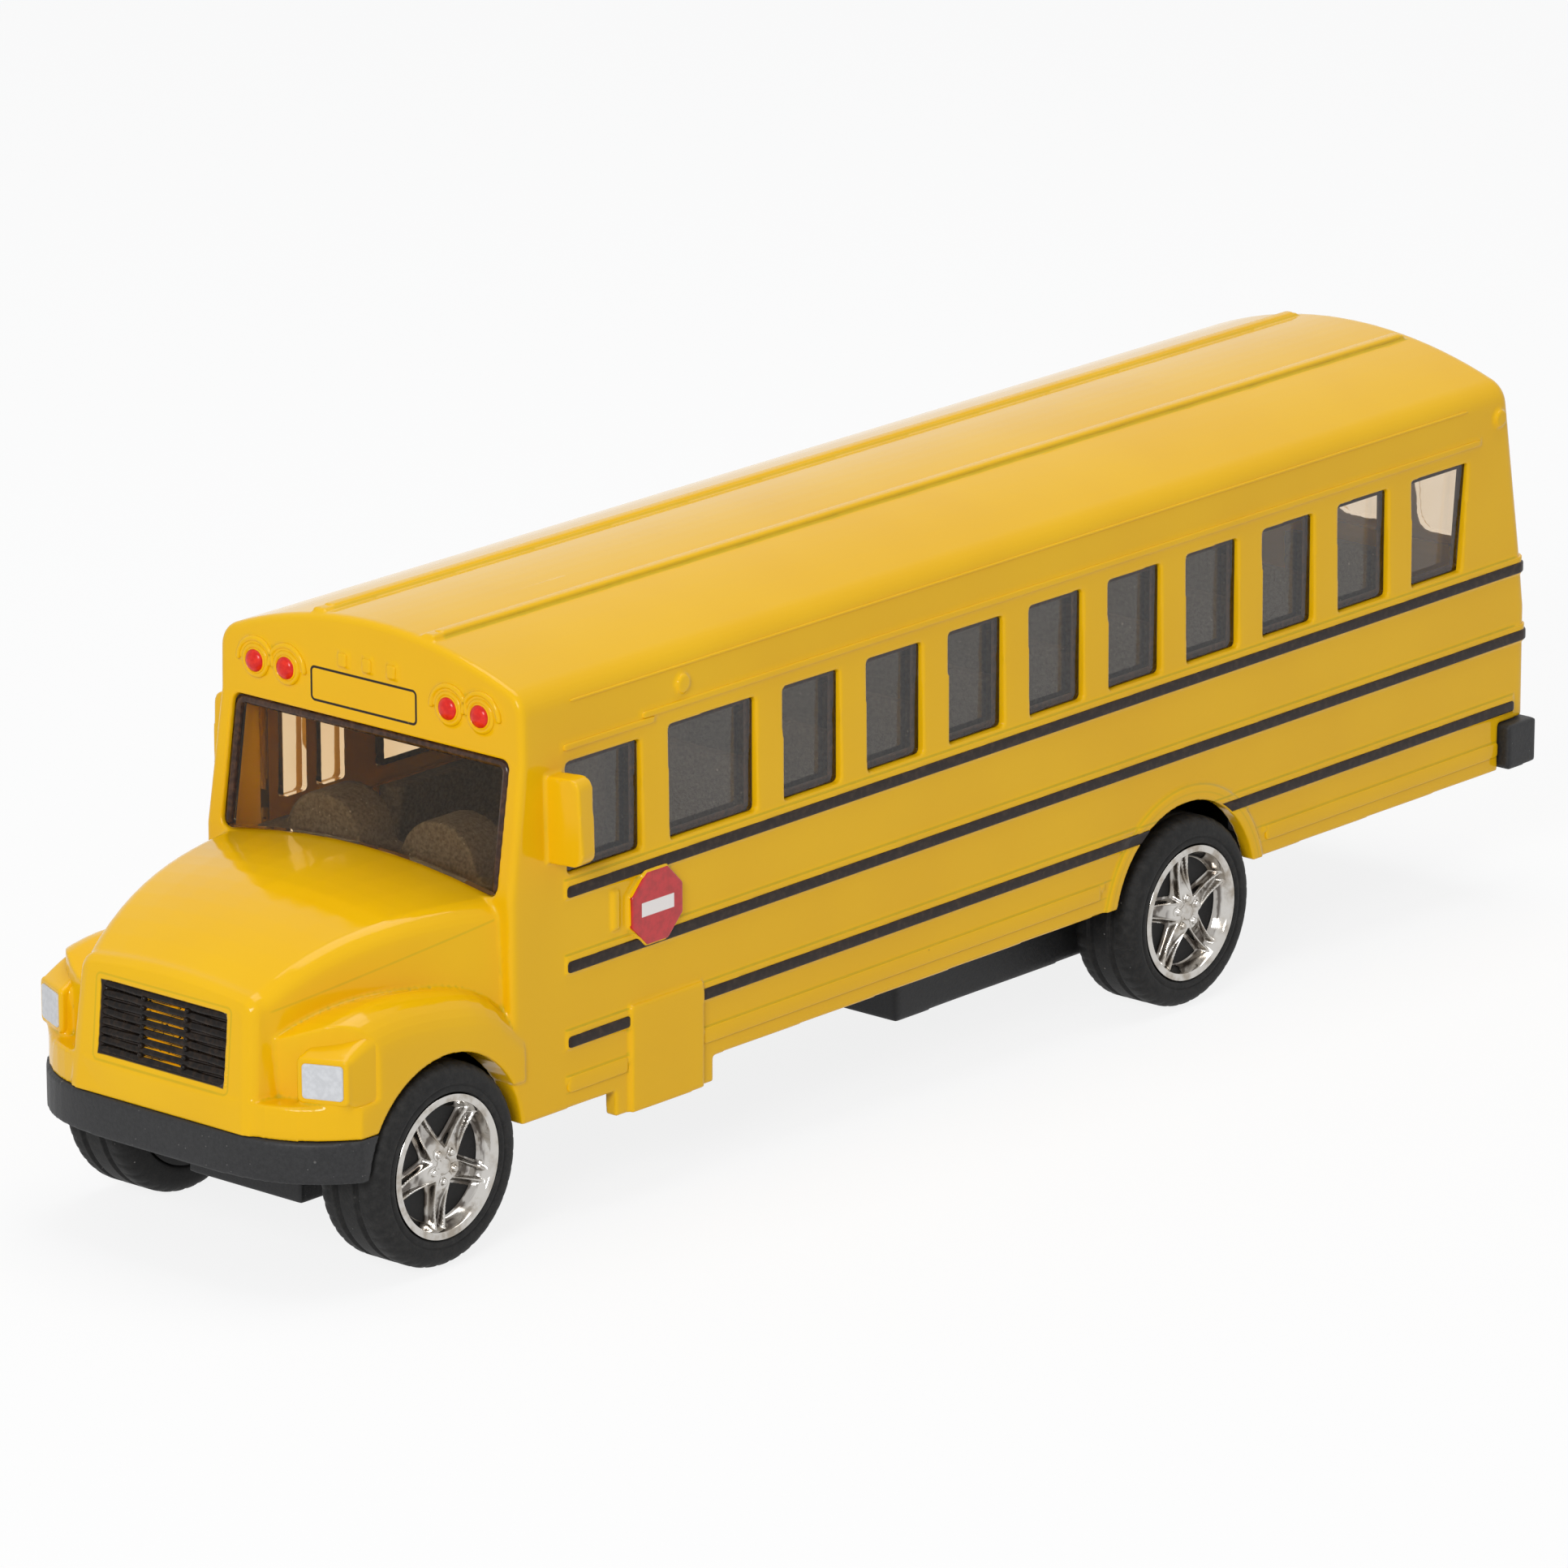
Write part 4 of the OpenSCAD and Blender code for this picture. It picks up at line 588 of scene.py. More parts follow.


# Cast shell: one rounded copy in two halves with shared normals; groove is the mean bend of the surface,
# which the yellow paint turns into painted shade in hollows and a painted highlight on edges
def castShell():
    v = {"voxel": 0.00017, "passes": 3,
         "limit": 380000,
         "lamps": ((15.4, -78.2, 19.6), (-15.4, -78.2, 19.6)), "reach": 4.6, "rounds": 14,
         "under": 0.17, "from": -51.2, "railHalf": 0.6}
    me = castCopy("body_casting", v["voxel"], v["passes"], v["limit"])
    count = len(me.vertices)
    co = read(me.vertices, "co", 3).astype(float)
    a, b = read(me.edges, "vertices", 2, np.int32).T
    hits = np.bincount(a, minlength=count) + np.bincount(b, minlength=count)

    # Sum over each point's neighbours
    def around(q):
        return np.bincount(a, q[b], count) + np.bincount(b, q[a], count)
    # near the headlamps each point moves part of the way to its neighbours' mean, in rounds
    soft = np.zeros(count)
    for at in v["lamps"]:
        far = np.linalg.norm(co - ground(at), axis=1) * 1000
        soft = np.maximum(soft, 0.5 * ease(v["reach"], 0.7 * v["reach"], far))
    for _ in range(v["rounds"]):
        mean = np.stack([around(co[:, q]) for q in range(3)], -1) / hits[:, None]
        co += soft[:, None] * (mean - co)
    # the cast rails draw back a little under their painted bars, at the sides, the corners and the tail
    c, s, q, w = math.cos(body["rake"]), math.sin(body["rake"]), body["rearRound"], body["halfW"]
    x, y, z = (co * 1000 - (0, 0, body["pivot"])).T
    y, z = y * c + z * s, z * c - y * s + body["pivot"]
    for i, rear in enumerate(body["rear"]):
        near = np.abs(z - body["railZ"] - body["pitch"] * i) < v["railHalf"]
        near &= (y > v["from"]) & (np.abs(x) < w + 0.4)
        near &= (i > 0) | (x < 0) | (np.abs(y - body["hatch"][0]) > body["hatch"][1])
        cx, cy = np.clip(x, q - w, w - q), np.minimum(y, rear - q)
        far = np.hypot(x - cx, y - cy)
        pull = np.where(near & (far > q + v["under"]), (q + v["under"]) / np.maximum(far, 1e-6), 1)
        x, y = cx + (x - cx) * pull, cy + (y - cy) * pull
    co = ground(np.stack([x, y, z], -1))
    me.vertices.foreach_set("co", co.astype(np.float32).ravel())
    me.update()
    no = read(me.vertex_normals, "vector", 3).astype(float)
    gap = (co[b] - co[a]) * 1000
    size = np.maximum((gap ** 2).sum(1), 1e-6)
    ahead, behind = (gap * no[a]).sum(1) / size, (gap * no[b]).sum(1) / size
    bend = np.bincount(a, ahead, count) - np.bincount(b, behind, count)
    bend /= np.maximum(hits, 1)
    for _ in range(2):
        bend = (2 * bend + around(bend)) / (hits + 2)
    me.calc_loop_triangles()
    tri = read(me.loop_triangles, "vertices", 3, np.int32)
    midY = co[tri][:, :, 1].mean(1)
    cut = np.median(midY)
    for name, chosen in (("cast_front", midY < cut), ("cast_rear", midY >= cut)):
        used, index = np.unique(tri[chosen], return_inverse=True)
        half = bpy.data.meshes.new(name)
        half.from_pydata(co[used].tolist(), [], index.reshape(-1, 3).tolist())
        mark = half.attributes.new("groove", "FLOAT", "POINT")
        mark.data.foreach_set("value", bend[used].astype(np.float32))
        piece(name, half, "bus_body", paints["yellow"], ["body_casting"])
        half.normals_split_custom_set_from_vertices(no[used].tolist())
    print("shell:", len(tri), "triangles, bend", np.percentile(bend, [2, 50, 98]).round(2))


castShell()


# Painted rails over the cast ones, each under a yellow ledge, and a skirt strip: bars carried along the
# flanks. The upper two run round the tail, and the middle one breaks at the door panes. The lowest
# breaks at the hatch and the door and follows the edge of the rear arch
def rails():
    v = {"h": 1.04, "proud": 0.33, "start": -51.1, "hatch": (-43.25, -34.15), "door": (-51.0, -40.4),
         "archR": 10.1, "lap": 4, "end": 80.3, "least": 1, "ledgeH": 0.5, "ledgeUp": 0.77,
         "ledgeProud": 0.18, "ledgeR": 0.1,
         "doorEnd": (-41.95, -51.1), "posts": ((-51.1, -49.97), (-46.7, -45.25)),
         "skirt": {1: ((-51.1, -43.45), (-33.95, 19.7), (43.3, 78)), -1: ((-40.2, 19.7), (43.3, 78))},
         "strip": (13.03, 1.45, 0.2, 0.15)}
    w, q = body["halfW"], body["rearRound"]
    archY, archZ = body["arch"]
    black, yellow = [], []

    # Half width of the arch opening at each height
    def reach(z):
        return np.sqrt(np.maximum(v["archR"] ** 2 - (z - archZ) ** 2, 0))

    # Points past the arch's edge come back to it: before the wheel (-1) or after it (1)
    def atArch(side):
        def shape(pts):
            edge = archY + side * reach(pts[..., 2])
            pts[..., 1] = np.maximum(pts[..., 1], edge) if side > 0 else np.minimum(pts[..., 1], edge)
            return pts
        return shape

    def add(plan, z, shape=None):
        black.append(bar("rail", plan, z, v["h"], v["proud"], shape=shape))
        yellow.append(bar("ledge", plan, z + v["ledgeUp"], v["ledgeH"], v["ledgeProud"], v["ledgeR"],
                          shape=shape))
    for i in (1, 2):
        rear = body["rear"][i] - q
        t = np.linspace(0, math.pi / 2, 12)
        corner = np.stack([w - q + q * np.cos(t), rear + q * np.sin(t)], -1)
        left, right = (np.stack([np.full(20, w), np.linspace(y0, rear - 0.1, 20)], -1)
                       for y0 in (v["start"], v["doorEnd"][i - 1]))
        plan = np.concatenate([left, corner, corner[::-1] * (-1, 1), right[::-1] * (-1, 1)])
        add(plan, body["railZ"] + body["pitch"] * i)
    for y0, y1 in v["posts"]:
        add(np.stack([np.full(3, -w), np.linspace(y1, y0, 3)], -1), body["railZ"] + body["pitch"])
    for sx in (1, -1):
        gapY = v["hatch"] if sx > 0 else v["door"]
        for y0, y1, shape in ((v["start"], gapY[0], None), (gapY[1], archY - v["lap"], atArch(-1)),
                              (archY + v["lap"], v["end"], atArch(1))):
            if y1 - y0 > v["least"]:
                y = np.linspace(y0, y1, 12)[::sx]
                add(np.stack([np.full(12, sx * w), y], -1), body["railZ"], shape)
        for y0, y1 in v["skirt"][sx]:
            y = np.linspace(y0, y1, 12)[::sx]
            yellow.append(bar("skirt", np.stack([np.full(12, sx * w), y], -1), *v["strip"]))
    onShell("rails_black", black, "rail")
    onShell("rail_ledges", yellow, "yellow")


rails()


# Roof ribs, drip rails over the windows and the seam under the shoulder: low rounded bars
def roofTrim():
    v = {"ribX": 6.3, "ribZ": 50.9, "ribY": (-54.4, 76.9), "ribW": 1.35, "ribH": 0.43, "ribEnd": 0.6,
         "ribEdge": 0.4, "dripEdge": 0.15,
         "drips": ((43.15, -41.2, 74.9, 0.6, 0.26), (42.55, -51.1, -39.6, 0.6, 0.26),
                   (46.4, -50.0, 73.0, 0.24, 0.09)),
         "dripX": (17.42, 17.43, 17.35)}
    made = []
    y0, y1 = v["ribY"]
    for sx in (1, -1):
        made.append(pad("rib", (sx * v["ribX"], (y0 + y1) / 2, v["ribZ"]), (1, 0, 0), (0, 1, 0),
                        roundRect(v["ribW"] / 2, (y1 - y0) / 2, v["ribEnd"]),
                        edgeSteps(v["ribH"], v["ribEdge"])))
        for x, (z, a, b, h, proud) in zip(v["dripX"], v["drips"]):
            plan = np.stack([np.full(12, sx * x), np.linspace(a, b, 12)[::sx]], -1)
            made.append(bar("drip", plan, z, h, proud, min(v["dripEdge"], h / 2.5)))
    onShell("roof_trim", made, "yellow")


roofTrim()


# Window linings: a thin brown band round each pane, its outline carried inwards and turned at the back
def linings():
    v = {"sill": 31.4, "h": 10.15, "rows": (-23.05, 10.972, 7.47, 8), "driver": (-50.7, 9.45, 9.75),
         "wide": (-37.75, 11.2, 10.15), "last": (64.73, 7.47, 10.15, 1.0), "corner": 0.45,
         "section": ((0.1, 16.94), (0.1, 16.04), (0.62, 16.02))}
    y0, step, w, count = v["rows"]
    made = []
    for sx in (1, -1):
        spans = [v["driver"], v["wide"]] if sx > 0 else [v["wide"]]
        spans += [(y0 + step * i, w, v["h"]) for i in range(count)]
        for a, b, h, more in [(*q, 0) for q in spans] + [v["last"]]:
            rows = []
            for inset, x in v["section"]:
                o = roundRect(b / 2, h / 2, v["corner"])(inset) + (a + b / 2, v["sill"] + h / 2)
                o[:, 0] += more * (o[:, 1] - v["sill"]) / h * (o[:, 0] > a + b / 2)
                rows.append(np.insert(o, 0, sx * x, 1))
            made.append(gridMesh("lining", ground(np.stack(rows))[:, ::-sx]))
    onShell("window_linings", made, "amber")


linings()


# Sign: octagonal plate on the left side
def sign():
    v = {"w": 6.4, "proud": 0.62, "edge": 0.15}
    at = (body["halfW"], *body["sign"])
    me = pad("sign_plate", at, (0, 1, 0), (0, 0, 1), octagon(v["w"]), edgeSteps(v["proud"], v["edge"]))
    piece("sign_plate", me, "bus_body", paints["sign"])


sign()
print("trim: rails, roof, linings, sign")


# Lamps over the windscreen: red domes, each in a ring under a brow, and small markers between them
def flashers():
    v = {"x": (9.3, 12.9), "z": 45.6, "r": 1.0, "proud": 0.82, "wall": 0.3, "ring": 1.3, "ringR": 0.25,
         "brow": 2.02, "browR": 0.26, "browDrop": 0.1, "out": 0.14, "markers": (-2.8, 0, 2.8),
         "markerZ": 47.5, "marker": (0.52, 0.62, 0.25), "markerEdge": (0.36, 0.2)}
    domes, rims = [], []
    t = np.linspace(0, math.pi / 2, 7)
    wall, rise = v["wall"], v["proud"] - v["wall"]
    dome = [(0, -0.2), (0, wall)]
    dome += [(v["r"] * (1 - math.cos(a)) * 0.98, wall + rise * math.sin(a)) for a in t[1:]]
    for x in (*v["x"], *(-q for q in v["x"])):
        c = np.array((x, body["headerY"], v["z"]))
        domes.append(pad("dome", c, (1, 0, 0), (0, 0, 1), ringOutline(v["r"]), dome))
        a = np.arange(32) * 2 * math.pi / 32
        c = c - (0, v["out"], 0)
        ring = c + v["ring"] * np.stack([np.cos(a), 0 * a, np.sin(a)], -1)
        rims.append(tube("ring", ring, v["ringR"], 10, True, (0, 1, 0)))
        a = np.linspace(0.05, math.pi - 0.05, 24)
        brow = c + v["brow"] * np.stack([np.cos(a), 0 * a, np.sin(a)], -1) - (0, 0, v["browDrop"])
        rims.append(tube("brow", brow, v["browR"], 10, False, (0, 1, 0)))
    for x in v["markers"]:
        rims.append(pad("marker", (x, body["headerY"], v["markerZ"]), (1, 0, 0), (0, 0, 1),
                        roundRect(*v["marker"]), edgeSteps(*v["markerEdge"])))
    onShell("lamp_domes", domes, "red")
    onShell("lamp_brows", rims, "yellow")


flashers()


# Headlamps: a flat rounded pane on each turned block, in a housing that opens out from the pane's frame
# to the front of the fender; between the two outlines the sides swell as a quarter sine
def lenses():
    v = {"x": 15.65, "y": -78.71, "z": 19.9, "turn": math.radians(24), "a": 1.8, "b": 1.52,
         "proud": 0.2, "frame": 0.52, "back": (15.45, -73.0, 19.8), "backA": 2.3, "backB": 3.95, "rows": 14,
         "corners": (0.35, 0.6, 1.3), "lensEdge": 0.12, "setBack": 0.25,
         "steps": ((0.62, 0.02), (0.4, 0.1), (0.2, 0.08), (0.06, -0.04))}
    paneR, faceR, backR = v["corners"]
    panes, housings = [], []
    for sx in (1, -1):
        u = np.array((math.cos(v["turn"]), sx * math.sin(v["turn"]), 0))
        at = np.array((sx * v["x"], v["y"], v["z"]))
        panes.append(pad("lens", at, u, (0, 0, 1), roundRect(v["a"], v["b"], paneR),
                         edgeSteps(v["proud"], v["lensEdge"])))
        out, up = np.array((u[1], -u[0], 0)), np.array((0.0, 0.0, 1.0))
        face = roundRect(v["a"] + v["frame"], v["b"] + v["frame"], faceR)
        tail = roundRect(v["backA"], v["backB"], backR)(0) @ np.array([(1, 0, 0), up])
        tail = tail + np.array(v["back"]) * (sx, 1, 1)
        rows = [at + face(d) @ np.stack([u, up]) + h * out for d, h in v["steps"]]
        edge = at + face(0) @ np.stack([u, up]) - v["setBack"] * out
        s = np.linspace(0, 1, v["rows"])[:, None, None]
        grow = np.concatenate([np.sin(s * math.pi / 2), s, np.sin(s * math.pi / 2)], -1)
        rows = np.concatenate([np.stack(rows), edge + (tail - edge) * grow])
        housings.append(gridMesh("housing", ground(rows)[:, ::-1], capFirst=True, capLast=True))
    onShell("headlamp_lenses", panes, "silver")
    onShell("headlamp_housings", housings, "yellow")


lenses()


# Grille: black louvres on the leaning nose, two columns of studs, and yellow beads down one edge
def grille():
    v = {"w": 14.4, "h": 6.4, "count": 8, "r": 0.41, "depth": 0.40, "stud": 2.5, "studR": 0.26,
         "studDepth": 0.12, "bead": 7.5, "beadR": 0.27, "beadDepth": 0.06}
    c, s = math.cos(body["noseLean"]), math.sin(body["noseLean"])

    # Point on the leaning nose: x across, d in from the face, h up the slope
    def onNose(x, d, h):
        y, z = body["noseY"] + d * c + h * s, body["bumperTop"] - d * s + h * c
        return np.stack(np.broadcast_arrays(x, y, z), -1)

    # Half a ball on the nose
    def dome(x, d, h, r):
        t = np.linspace(0, math.pi / 2, 5)
        return pad("dome", onNose(np.array(x), d, h), (1, 0, 0), (0, s, c), ringOutline(r, 16),
                   [(0, -0.3)] + [(r * (1 - math.cos(a)), r * math.sin(a)) for a in t])
    black, yellow = [], []
    # the small sines make each louvre a little uneven, as brushed over
    for i in range(v["count"]):
        h = body["grilleFoot"] + v["h"] * (i + 0.5) / v["count"]
        x0, x1 = -v["w"] / 2 - 0.1 * math.sin(3 * i), v["w"] / 2 - 0.05 + 0.05 * math.cos(2 * i)
        x = np.linspace(x0, x1, 40)
        path = onNose(x, v["depth"] - 0.02 * np.sin(x * 1.7 + i), h + 0.03 * np.sin(x * 0.9 + 2 * i))
        black.append(tube("louvre", path, v["r"], 12))
        yellow.append(dome(v["bead"], v["beadDepth"], h, v["beadR"]))
        if i:
            low = h - v["h"] / v["count"] / 2
            black += [dome(q * v["stud"] + 0.06 * math.sin(5 * i), v["studDepth"], low, v["studR"])
                      for q in (-1, 1)]
    onShell("grille_louvres", black, "grille")
    onShell("grille_beads", yellow, "yellow")


grille()
print("front: lamps, lenses, grille")


# Windscreen rim: a thin brown edge up one side of the pane, over its top and down the other side
def screenRim():
    v = {"halfW": 15.35, "top": 11.25, "foot": 0.7, "corner": 0.8, "set": 0.62, "r": 0.42}
    c, s = math.cos(body["screenLean"]), math.sin(body["screenLean"])
    t = np.linspace(0, math.pi / 2, 8)
    x = np.concatenate([np.full(12, v["halfW"]), v["halfW"] - v["corner"] * (1 - np.cos(t))])
    up = np.concatenate([np.linspace(v["foot"], v["top"] - v["corner"] - 0.3, 12),
                         v["top"] - v["corner"] + v["corner"] * np.sin(t)])
    x, up = np.concatenate([x, -x[::-1]]), np.concatenate([up, up[::-1]])
    y, z = body["cowlY"] + up * s + v["set"] * c, body["screenZ"] + up * c - v["set"] * s
    path = np.stack([x, y, z], -1)
    me = tube("windscreen_rim", path, v["r"], 12, False, (0, c, -s))
    piece("windscreen_rim", me, "bus_body", paints["amber"])


screenRim()


# Chassis, tray and motor case: moulded copies, each with its paint, cell size, passes, limit and slot
def mouldings():
    v = {"chassis_base": ("black", 0.00024, 3, 150000, "black_plastic"),
         "cabin_interior": ("grey", 0.0003, 3, 120000, "grey_plastic"),
         "motor_case": ("black", 0.0003, 5, 80000, "black_plastic")}
    for name, (mat, voxel, passes, limit, slot) in v.items():
        me = castCopy(name, voxel, passes, limit)
        piece(name + "_moulded", me, "bus_body", paints[mat], [name])


mouldings()
print("mouldings done")

wheel = {"front": (-66.4887, 8.8, math.radians(-94)), "rear": (32.0257, 8.8, math.radians(-48)),
         "tyreR": 8.8, "rimR": 6.25, "inX": 11.3, "outX": 18.3}


# Points of a turned piece: x along the axle, r from it, a round it
def turned(x, r, a, y, z, side):
    return np.stack([side * x + 0 * a, y + r * np.cos(a), z + r * np.sin(a)], -1) / 1000


# Tyre: a lathed section with round shoulders, two grooves, shoulder cuts and a step at the rim
def tyre(name, rides, y, z, side):
    v = {"round": 1.3, "groove": 1.15, "depth": 0.28, "half": 0.22, "cuts": 40, "cutDepth": 0.1,
         "segments": 240, "inner": ((1.0, 0.03), (0.2, 0.08), (0, 0.3), (0, 0.75)),
         "outer": ((0, 1.05), (0, 0.87), (0.1, 0.8), (0.1, 0.7), (0.02, 0.63), (0.02, 0.4), (0.08, 0.2),
                   (0.3, 0.06), (1.0, 0.03))}  # side walls: in from the face, out from the rim
    rO, inX, outX, q = wheel["tyreR"], wheel["inX"], wheel["outX"], v["round"]
    t = np.linspace(-math.pi / 2, 0, 10)
    low = np.stack([inX + q + q * np.sin(t), rO - q + q * np.cos(t)], -1)
    flat = np.linspace(inX + q, outX - q, 60)[1:-1]
    mid = (inX + outX) / 2
    dip = v["depth"] * ease(v["half"] + 0.12, v["half"], np.abs(np.abs(flat - mid) - v["groove"]))
    tread = np.stack([flat, rO - dip], -1)
    high = np.stack([outX - q - q * np.sin(t[::-1]), rO - q + q * np.cos(t[::-1])], -1)
    wallOut = np.array(v["outer"]) * (-1, 1) + (outX, wheel["rimR"])
    wallIn = np.array(v["inner"]) + (inX, wheel["rimR"])
    prof = np.concatenate([wallIn, low, tread, high, wallOut])
    a = np.arange(v["segments"]) * 2 * math.pi / v["segments"]
    x, r = prof[:, 0][:, None], prof[:, 1][:, None] + 0 * a
    shoulder = ease(1.6, 2.2, np.abs(x - mid)) * ease(3.45, 2.9, np.abs(x - mid)) * (r > rO - q)
    cut = ease(0.55, 0.85, np.sin(a * v["cuts"] + 2.0 * np.sign(x - mid) + 0.8 * (x - mid)))
    r = r - v["cutDepth"] * shoulder * cut
    pts = turned(x, r, a[None, :], y, z, side)
    me = gridMesh(name + "_rubber", pts[:, ::side])
    return piece(name + "_rubber", me, rides, paints["tyre"], [name])


# Rim: height over the wheel's plane from a soft union of ten bars, a hub and a lip, with a lower web
# inside each pair of bars; open between the pairs
def rim(name, rides, y, z, phase, side):
    v = {"floor": 16.86, "lip": 18.24, "lipIn": 5.52, "lipFoot": 4.95, "lipRun": 0.7, "bar": 0.2,
         "apart": (0.74, 0.5), "hub": 1.75, "soft": 0.15, "cap": 0.72, "capUp": 0.26, "dot": 0.34,
         "dotUp": 0.3, "dotRing": 1.33, "rows": 84, "segments": 400, "far": 9,
         "top": ((0, 1.6, 2.2, 3.6, 5.2, 6.3), (17.86, 17.86, 17.74, 17.62, 17.74, 17.8)),
         "web": ((1.7, 3.0, 5.4), (0.05, 0.45, 0.7))}
    rO, far = wheel["rimR"], v["far"]
    rr = np.concatenate([np.linspace(0.01, rO - 0.06, v["rows"]), [rO - 0.03, rO, rO, rO]])
    a = np.arange(v["segments"]) * 2 * math.pi / v["segments"]
    r, th = rr[:, None] + 0 * a, a[None, :] + 0 * rr[:, None]
    px, py = r * np.cos(th), r * np.sin(th)
    # distance to each bar: across its line, with the bar a little wider towards the lip
    parts, web = [], far + 0 * r
    wide = v["bar"] + 0.10 * ease(4.2, 5.8, r) + 0.05 * ease(3.0, 1.6, r)
    apart = np.interp(r, (1.7, 5.4), v["apart"])
    for k in range(5):
        b = phase + 2 * math.pi * k / 5
        along = px * math.cos(b) + py * math.sin(b)
        across = py * math.cos(b) - px * math.sin(b)
        parts += [np.where(along > 0, np.abs(across + q * apart) - wide, far) for q in (-1, 1)]
        web = np.minimum(web, np.where(along > 0, np.abs(across) - apart, far))
    parts.append(r - v["hub"])
    parts.append(v["lipIn"] - r)
    d = -v["soft"] * np.log(sum(np.exp(-np.clip(q, -3, far) / v["soft"]) for q in parts)) * 0.55
    d = np.minimum(d, np.min(parts, axis=0)) + 0.04
    top = np.interp(rr, *v["top"])[:, None]
    x = v["floor"] + (top - v["floor"]) * ease(0.16, -0.2, d)
    sunk = top - np.interp(rr, *v["web"])[:, None]
    x = np.maximum(x, v["floor"] + (sunk - v["floor"]) * ease(0.12, -0.12, web))
    lip = np.clip((r - v["lipFoot"]) / v["lipRun"], 0, 1) ** 1.3
    x = np.maximum(x, v["floor"] + (v["lip"] - v["floor"]) * lip)
    cap = np.sqrt(np.clip(1 - (r / v["cap"]) ** 2, 0, 1))
    x += v["capUp"] * cap * ease(v["cap"], v["cap"] - 0.1, r)
    x -= 0.08 * ease(0.2, 0.06, np.abs(r - v["cap"] - 0.14))
    for k in range(5):
        b = phase + 2 * math.pi * k / 5
        q = np.hypot(px - v["dotRing"] * math.cos(b), py - v["dotRing"] * math.sin(b))
        x += v["dotUp"] * np.sqrt(np.clip(1 - (q / v["dot"]) ** 2, 0, 1))
        x -= 0.1 * ease(0.22, 0.05, np.abs(q - v["dot"] - 0.08))
    x[-3], x[-2], x[-1] = v["lip"] - 0.12, v["lip"] - 0.6, v["floor"]
    gap = (d > 0.2) & (web > 0.13) & (r < v["lipFoot"] - 0.02)
    keep = ~(gap[:-1] & np.roll(gap, -1, 1)[:-1] & gap[1:])
    pts = turned(x, r, th, y, z, side)
    me = gridMesh(name + "_plated", pts[:, ::-side], keep=keep if side < 0 else keep[:, ::-1])
    return piece(name + "_plated", me, rides, paints["chrome"], [name])


for end in ("front", "rear"):
    y, z, phase = wheel[end]
    for label, side in (("left", 1), ("right", -1)):
        tyre(f"tyre_{end}_{label}", f"{end}_wheelset", y, z, side)
        rim(f"rim_{end}_{label}", f"{end}_wheelset", y, z, phase, side)
print("wheels done")

# CAD nodes that keep their shape get their material
kept = {"screen": ["windscreen_glazing"], "grey": ["motor_lid"], "spring": ["mainspring"],
        "smoke": ["left_window_strip", "right_window_strip", "rear_glazing"],
        "steel": ["chassis_screws", "gear_pins", "front_axle", "rear_axle"],
        "gear": ["drive_pinion", "reduction_gear_a", "reduction_gear_b", "spring_gear"],
        "hub": [f"core_{end}_{label}" for end in ("front", "rear") for label in ("left", "right")]}
for mat, names in kept.items():
    for name in names:
        nodes[name].data.materials.clear()
        nodes[name].data.materials.append(paints[mat])


# 1 for rays from the eye, off glossy surfaces and through glass
def seen(tree):
    path = tree.nodes.new("ShaderNodeLightPath")
    eye, gloss, glass = (Sock(tree, path.outputs[f"Is {q} Ray"])
                         for q in ("Camera", "Glossy", "Transmission"))
    return eye.most(gloss).most(glass)


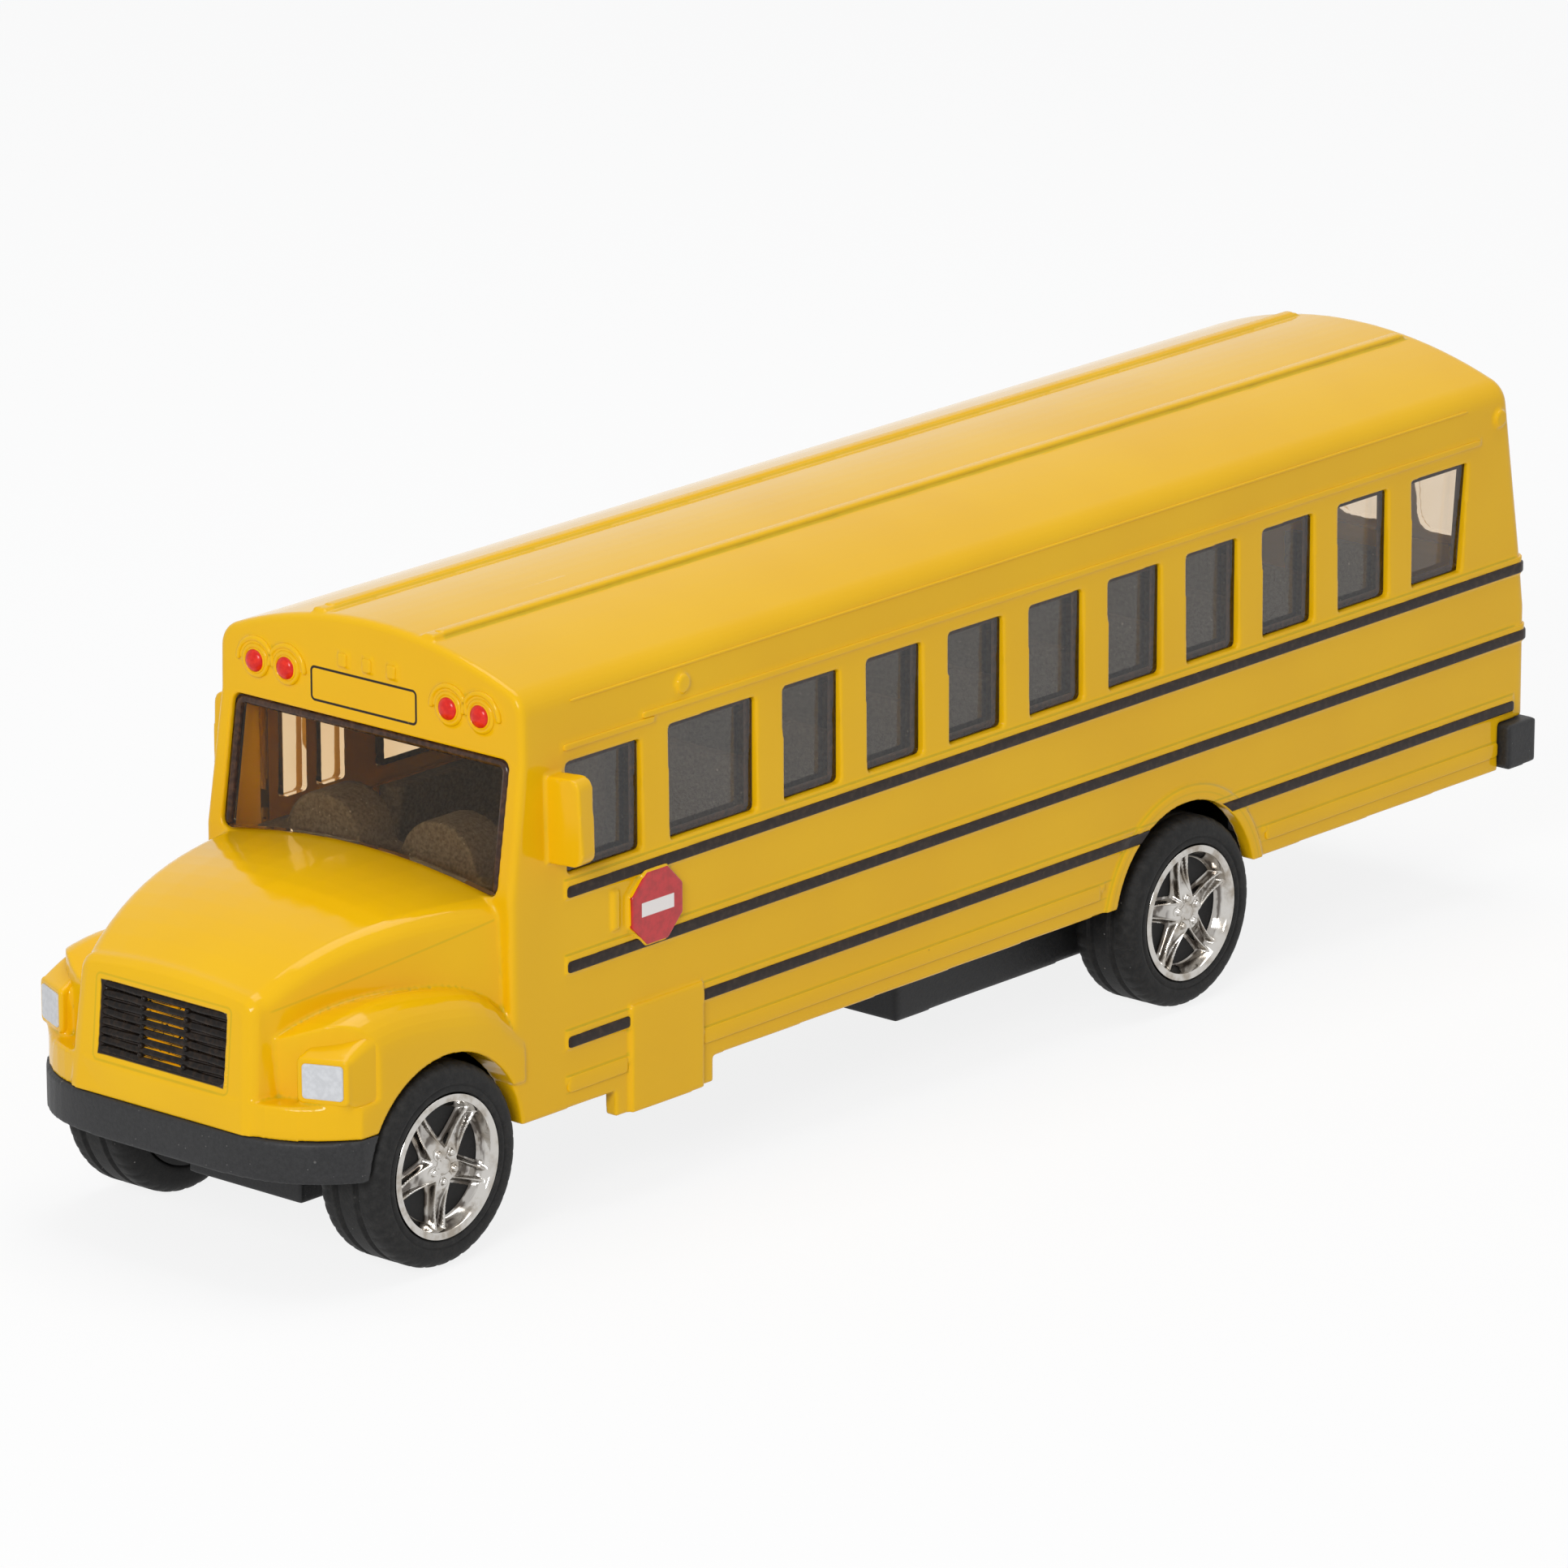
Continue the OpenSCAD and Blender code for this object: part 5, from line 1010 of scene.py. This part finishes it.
# Floor and sky: near white to the eye, to reflections and through glass; the floor keeps a faint shadow
def stage():
    v = {"size": 3.0, "drop": 0.0002, "pale": (0.86, 0.86, 0.86), "glow": 0.85,
         "sky": (0.95, 0.97, 1.0), "skyPower": 0.40}
    f = Finish("pale_floor", Base_Color=v["pale"], Roughness=0.9)
    glow = f.tree.nodes.new("ShaderNodeEmission")
    mix = f.tree.nodes.new("ShaderNodeMixShader")
    f.tree.links.new((seen(f.tree) * v["glow"]).out, mix.inputs[0])
    f.tree.links.new(f.main.outputs[0], mix.inputs[1])
    f.tree.links.new(glow.outputs[0], mix.inputs[2])
    f.tree.links.new(mix.outputs[0], f.end.inputs["Surface"])
    h, z = v["size"] / 2, -v["drop"]
    g = np.array([[(-h, -h, z), (h, -h, z)], [(-h, h, z), (h, h, z)]])
    floor = bpy.data.objects.new("floor", gridMesh("floor", g, closeCols=False))
    floor.data.materials.append(f.mat)
    scene.collection.objects.link(floor)
    world = bpy.data.worlds.new("studio")
    scene.world = world
    world.use_nodes = True
    t = world.node_tree
    back = t.nodes["Background"]
    back.inputs[0].default_value, back.inputs[1].default_value = (*v["sky"], 1), v["skyPower"]
    white = t.nodes.new("ShaderNodeBackground")
    white.inputs[0].default_value = (1, 1, 1, 1)
    mix = t.nodes.new("ShaderNodeMixShader")
    t.links.new(seen(t).out, mix.inputs[0])
    t.links.new(back.outputs[0], mix.inputs[1])
    t.links.new(white.outputs[0], mix.inputs[2])
    t.links.new(mix.outputs[0], t.nodes["World Output"].inputs["Surface"])


stage()


# Soft boxes: place, size, power, and the point that each faces
def lights():
    v = {"top": ((0.0, 0.10, 0.75), (0.5, 0.5), 2.6), "key": ((0.42, -0.90, 0.50), (0.3, 0.3), 5.6)}
    aim = Vector((0, -0.01, 0.025))
    for name, (at, size, power) in v.items():
        lamp = bpy.data.lights.new(name, "AREA")
        lamp.shape, lamp.size, lamp.size_y, lamp.energy = "RECTANGLE", *size, power
        ob = bpy.data.objects.new(name, lamp)
        ob.location = at
        ob.rotation_euler = (aim - Vector(at)).to_track_quat("-Z", "Y").to_euler()
        scene.collection.objects.link(ob)


lights()


# Camera at the photograph's angle: a turn matrix, a place and a long lens
def camera():
    v = {"at": (0.5708, -0.6654, 0.2783), "lens": 237.15, "sensor": 36, "near": 0.01,
         "turn": ((0.75582, 0.65473, 0.00877), (-0.18870, 0.20497, 0.96041),
                  (0.62701, -0.72755, 0.27847))}
    cam = bpy.data.cameras.new("camera")
    cam.lens, cam.sensor_width, cam.clip_start = v["lens"], v["sensor"], v["near"]
    ob = bpy.data.objects.new("camera", cam)
    ob.matrix_world = Matrix.Translation(v["at"]) @ Matrix(v["turn"]).transposed().to_4x4()
    scene.collection.objects.link(ob)
    scene.camera = ob
    scene.view_settings.view_transform = "Standard"


camera()
print("stage, lights and camera done")
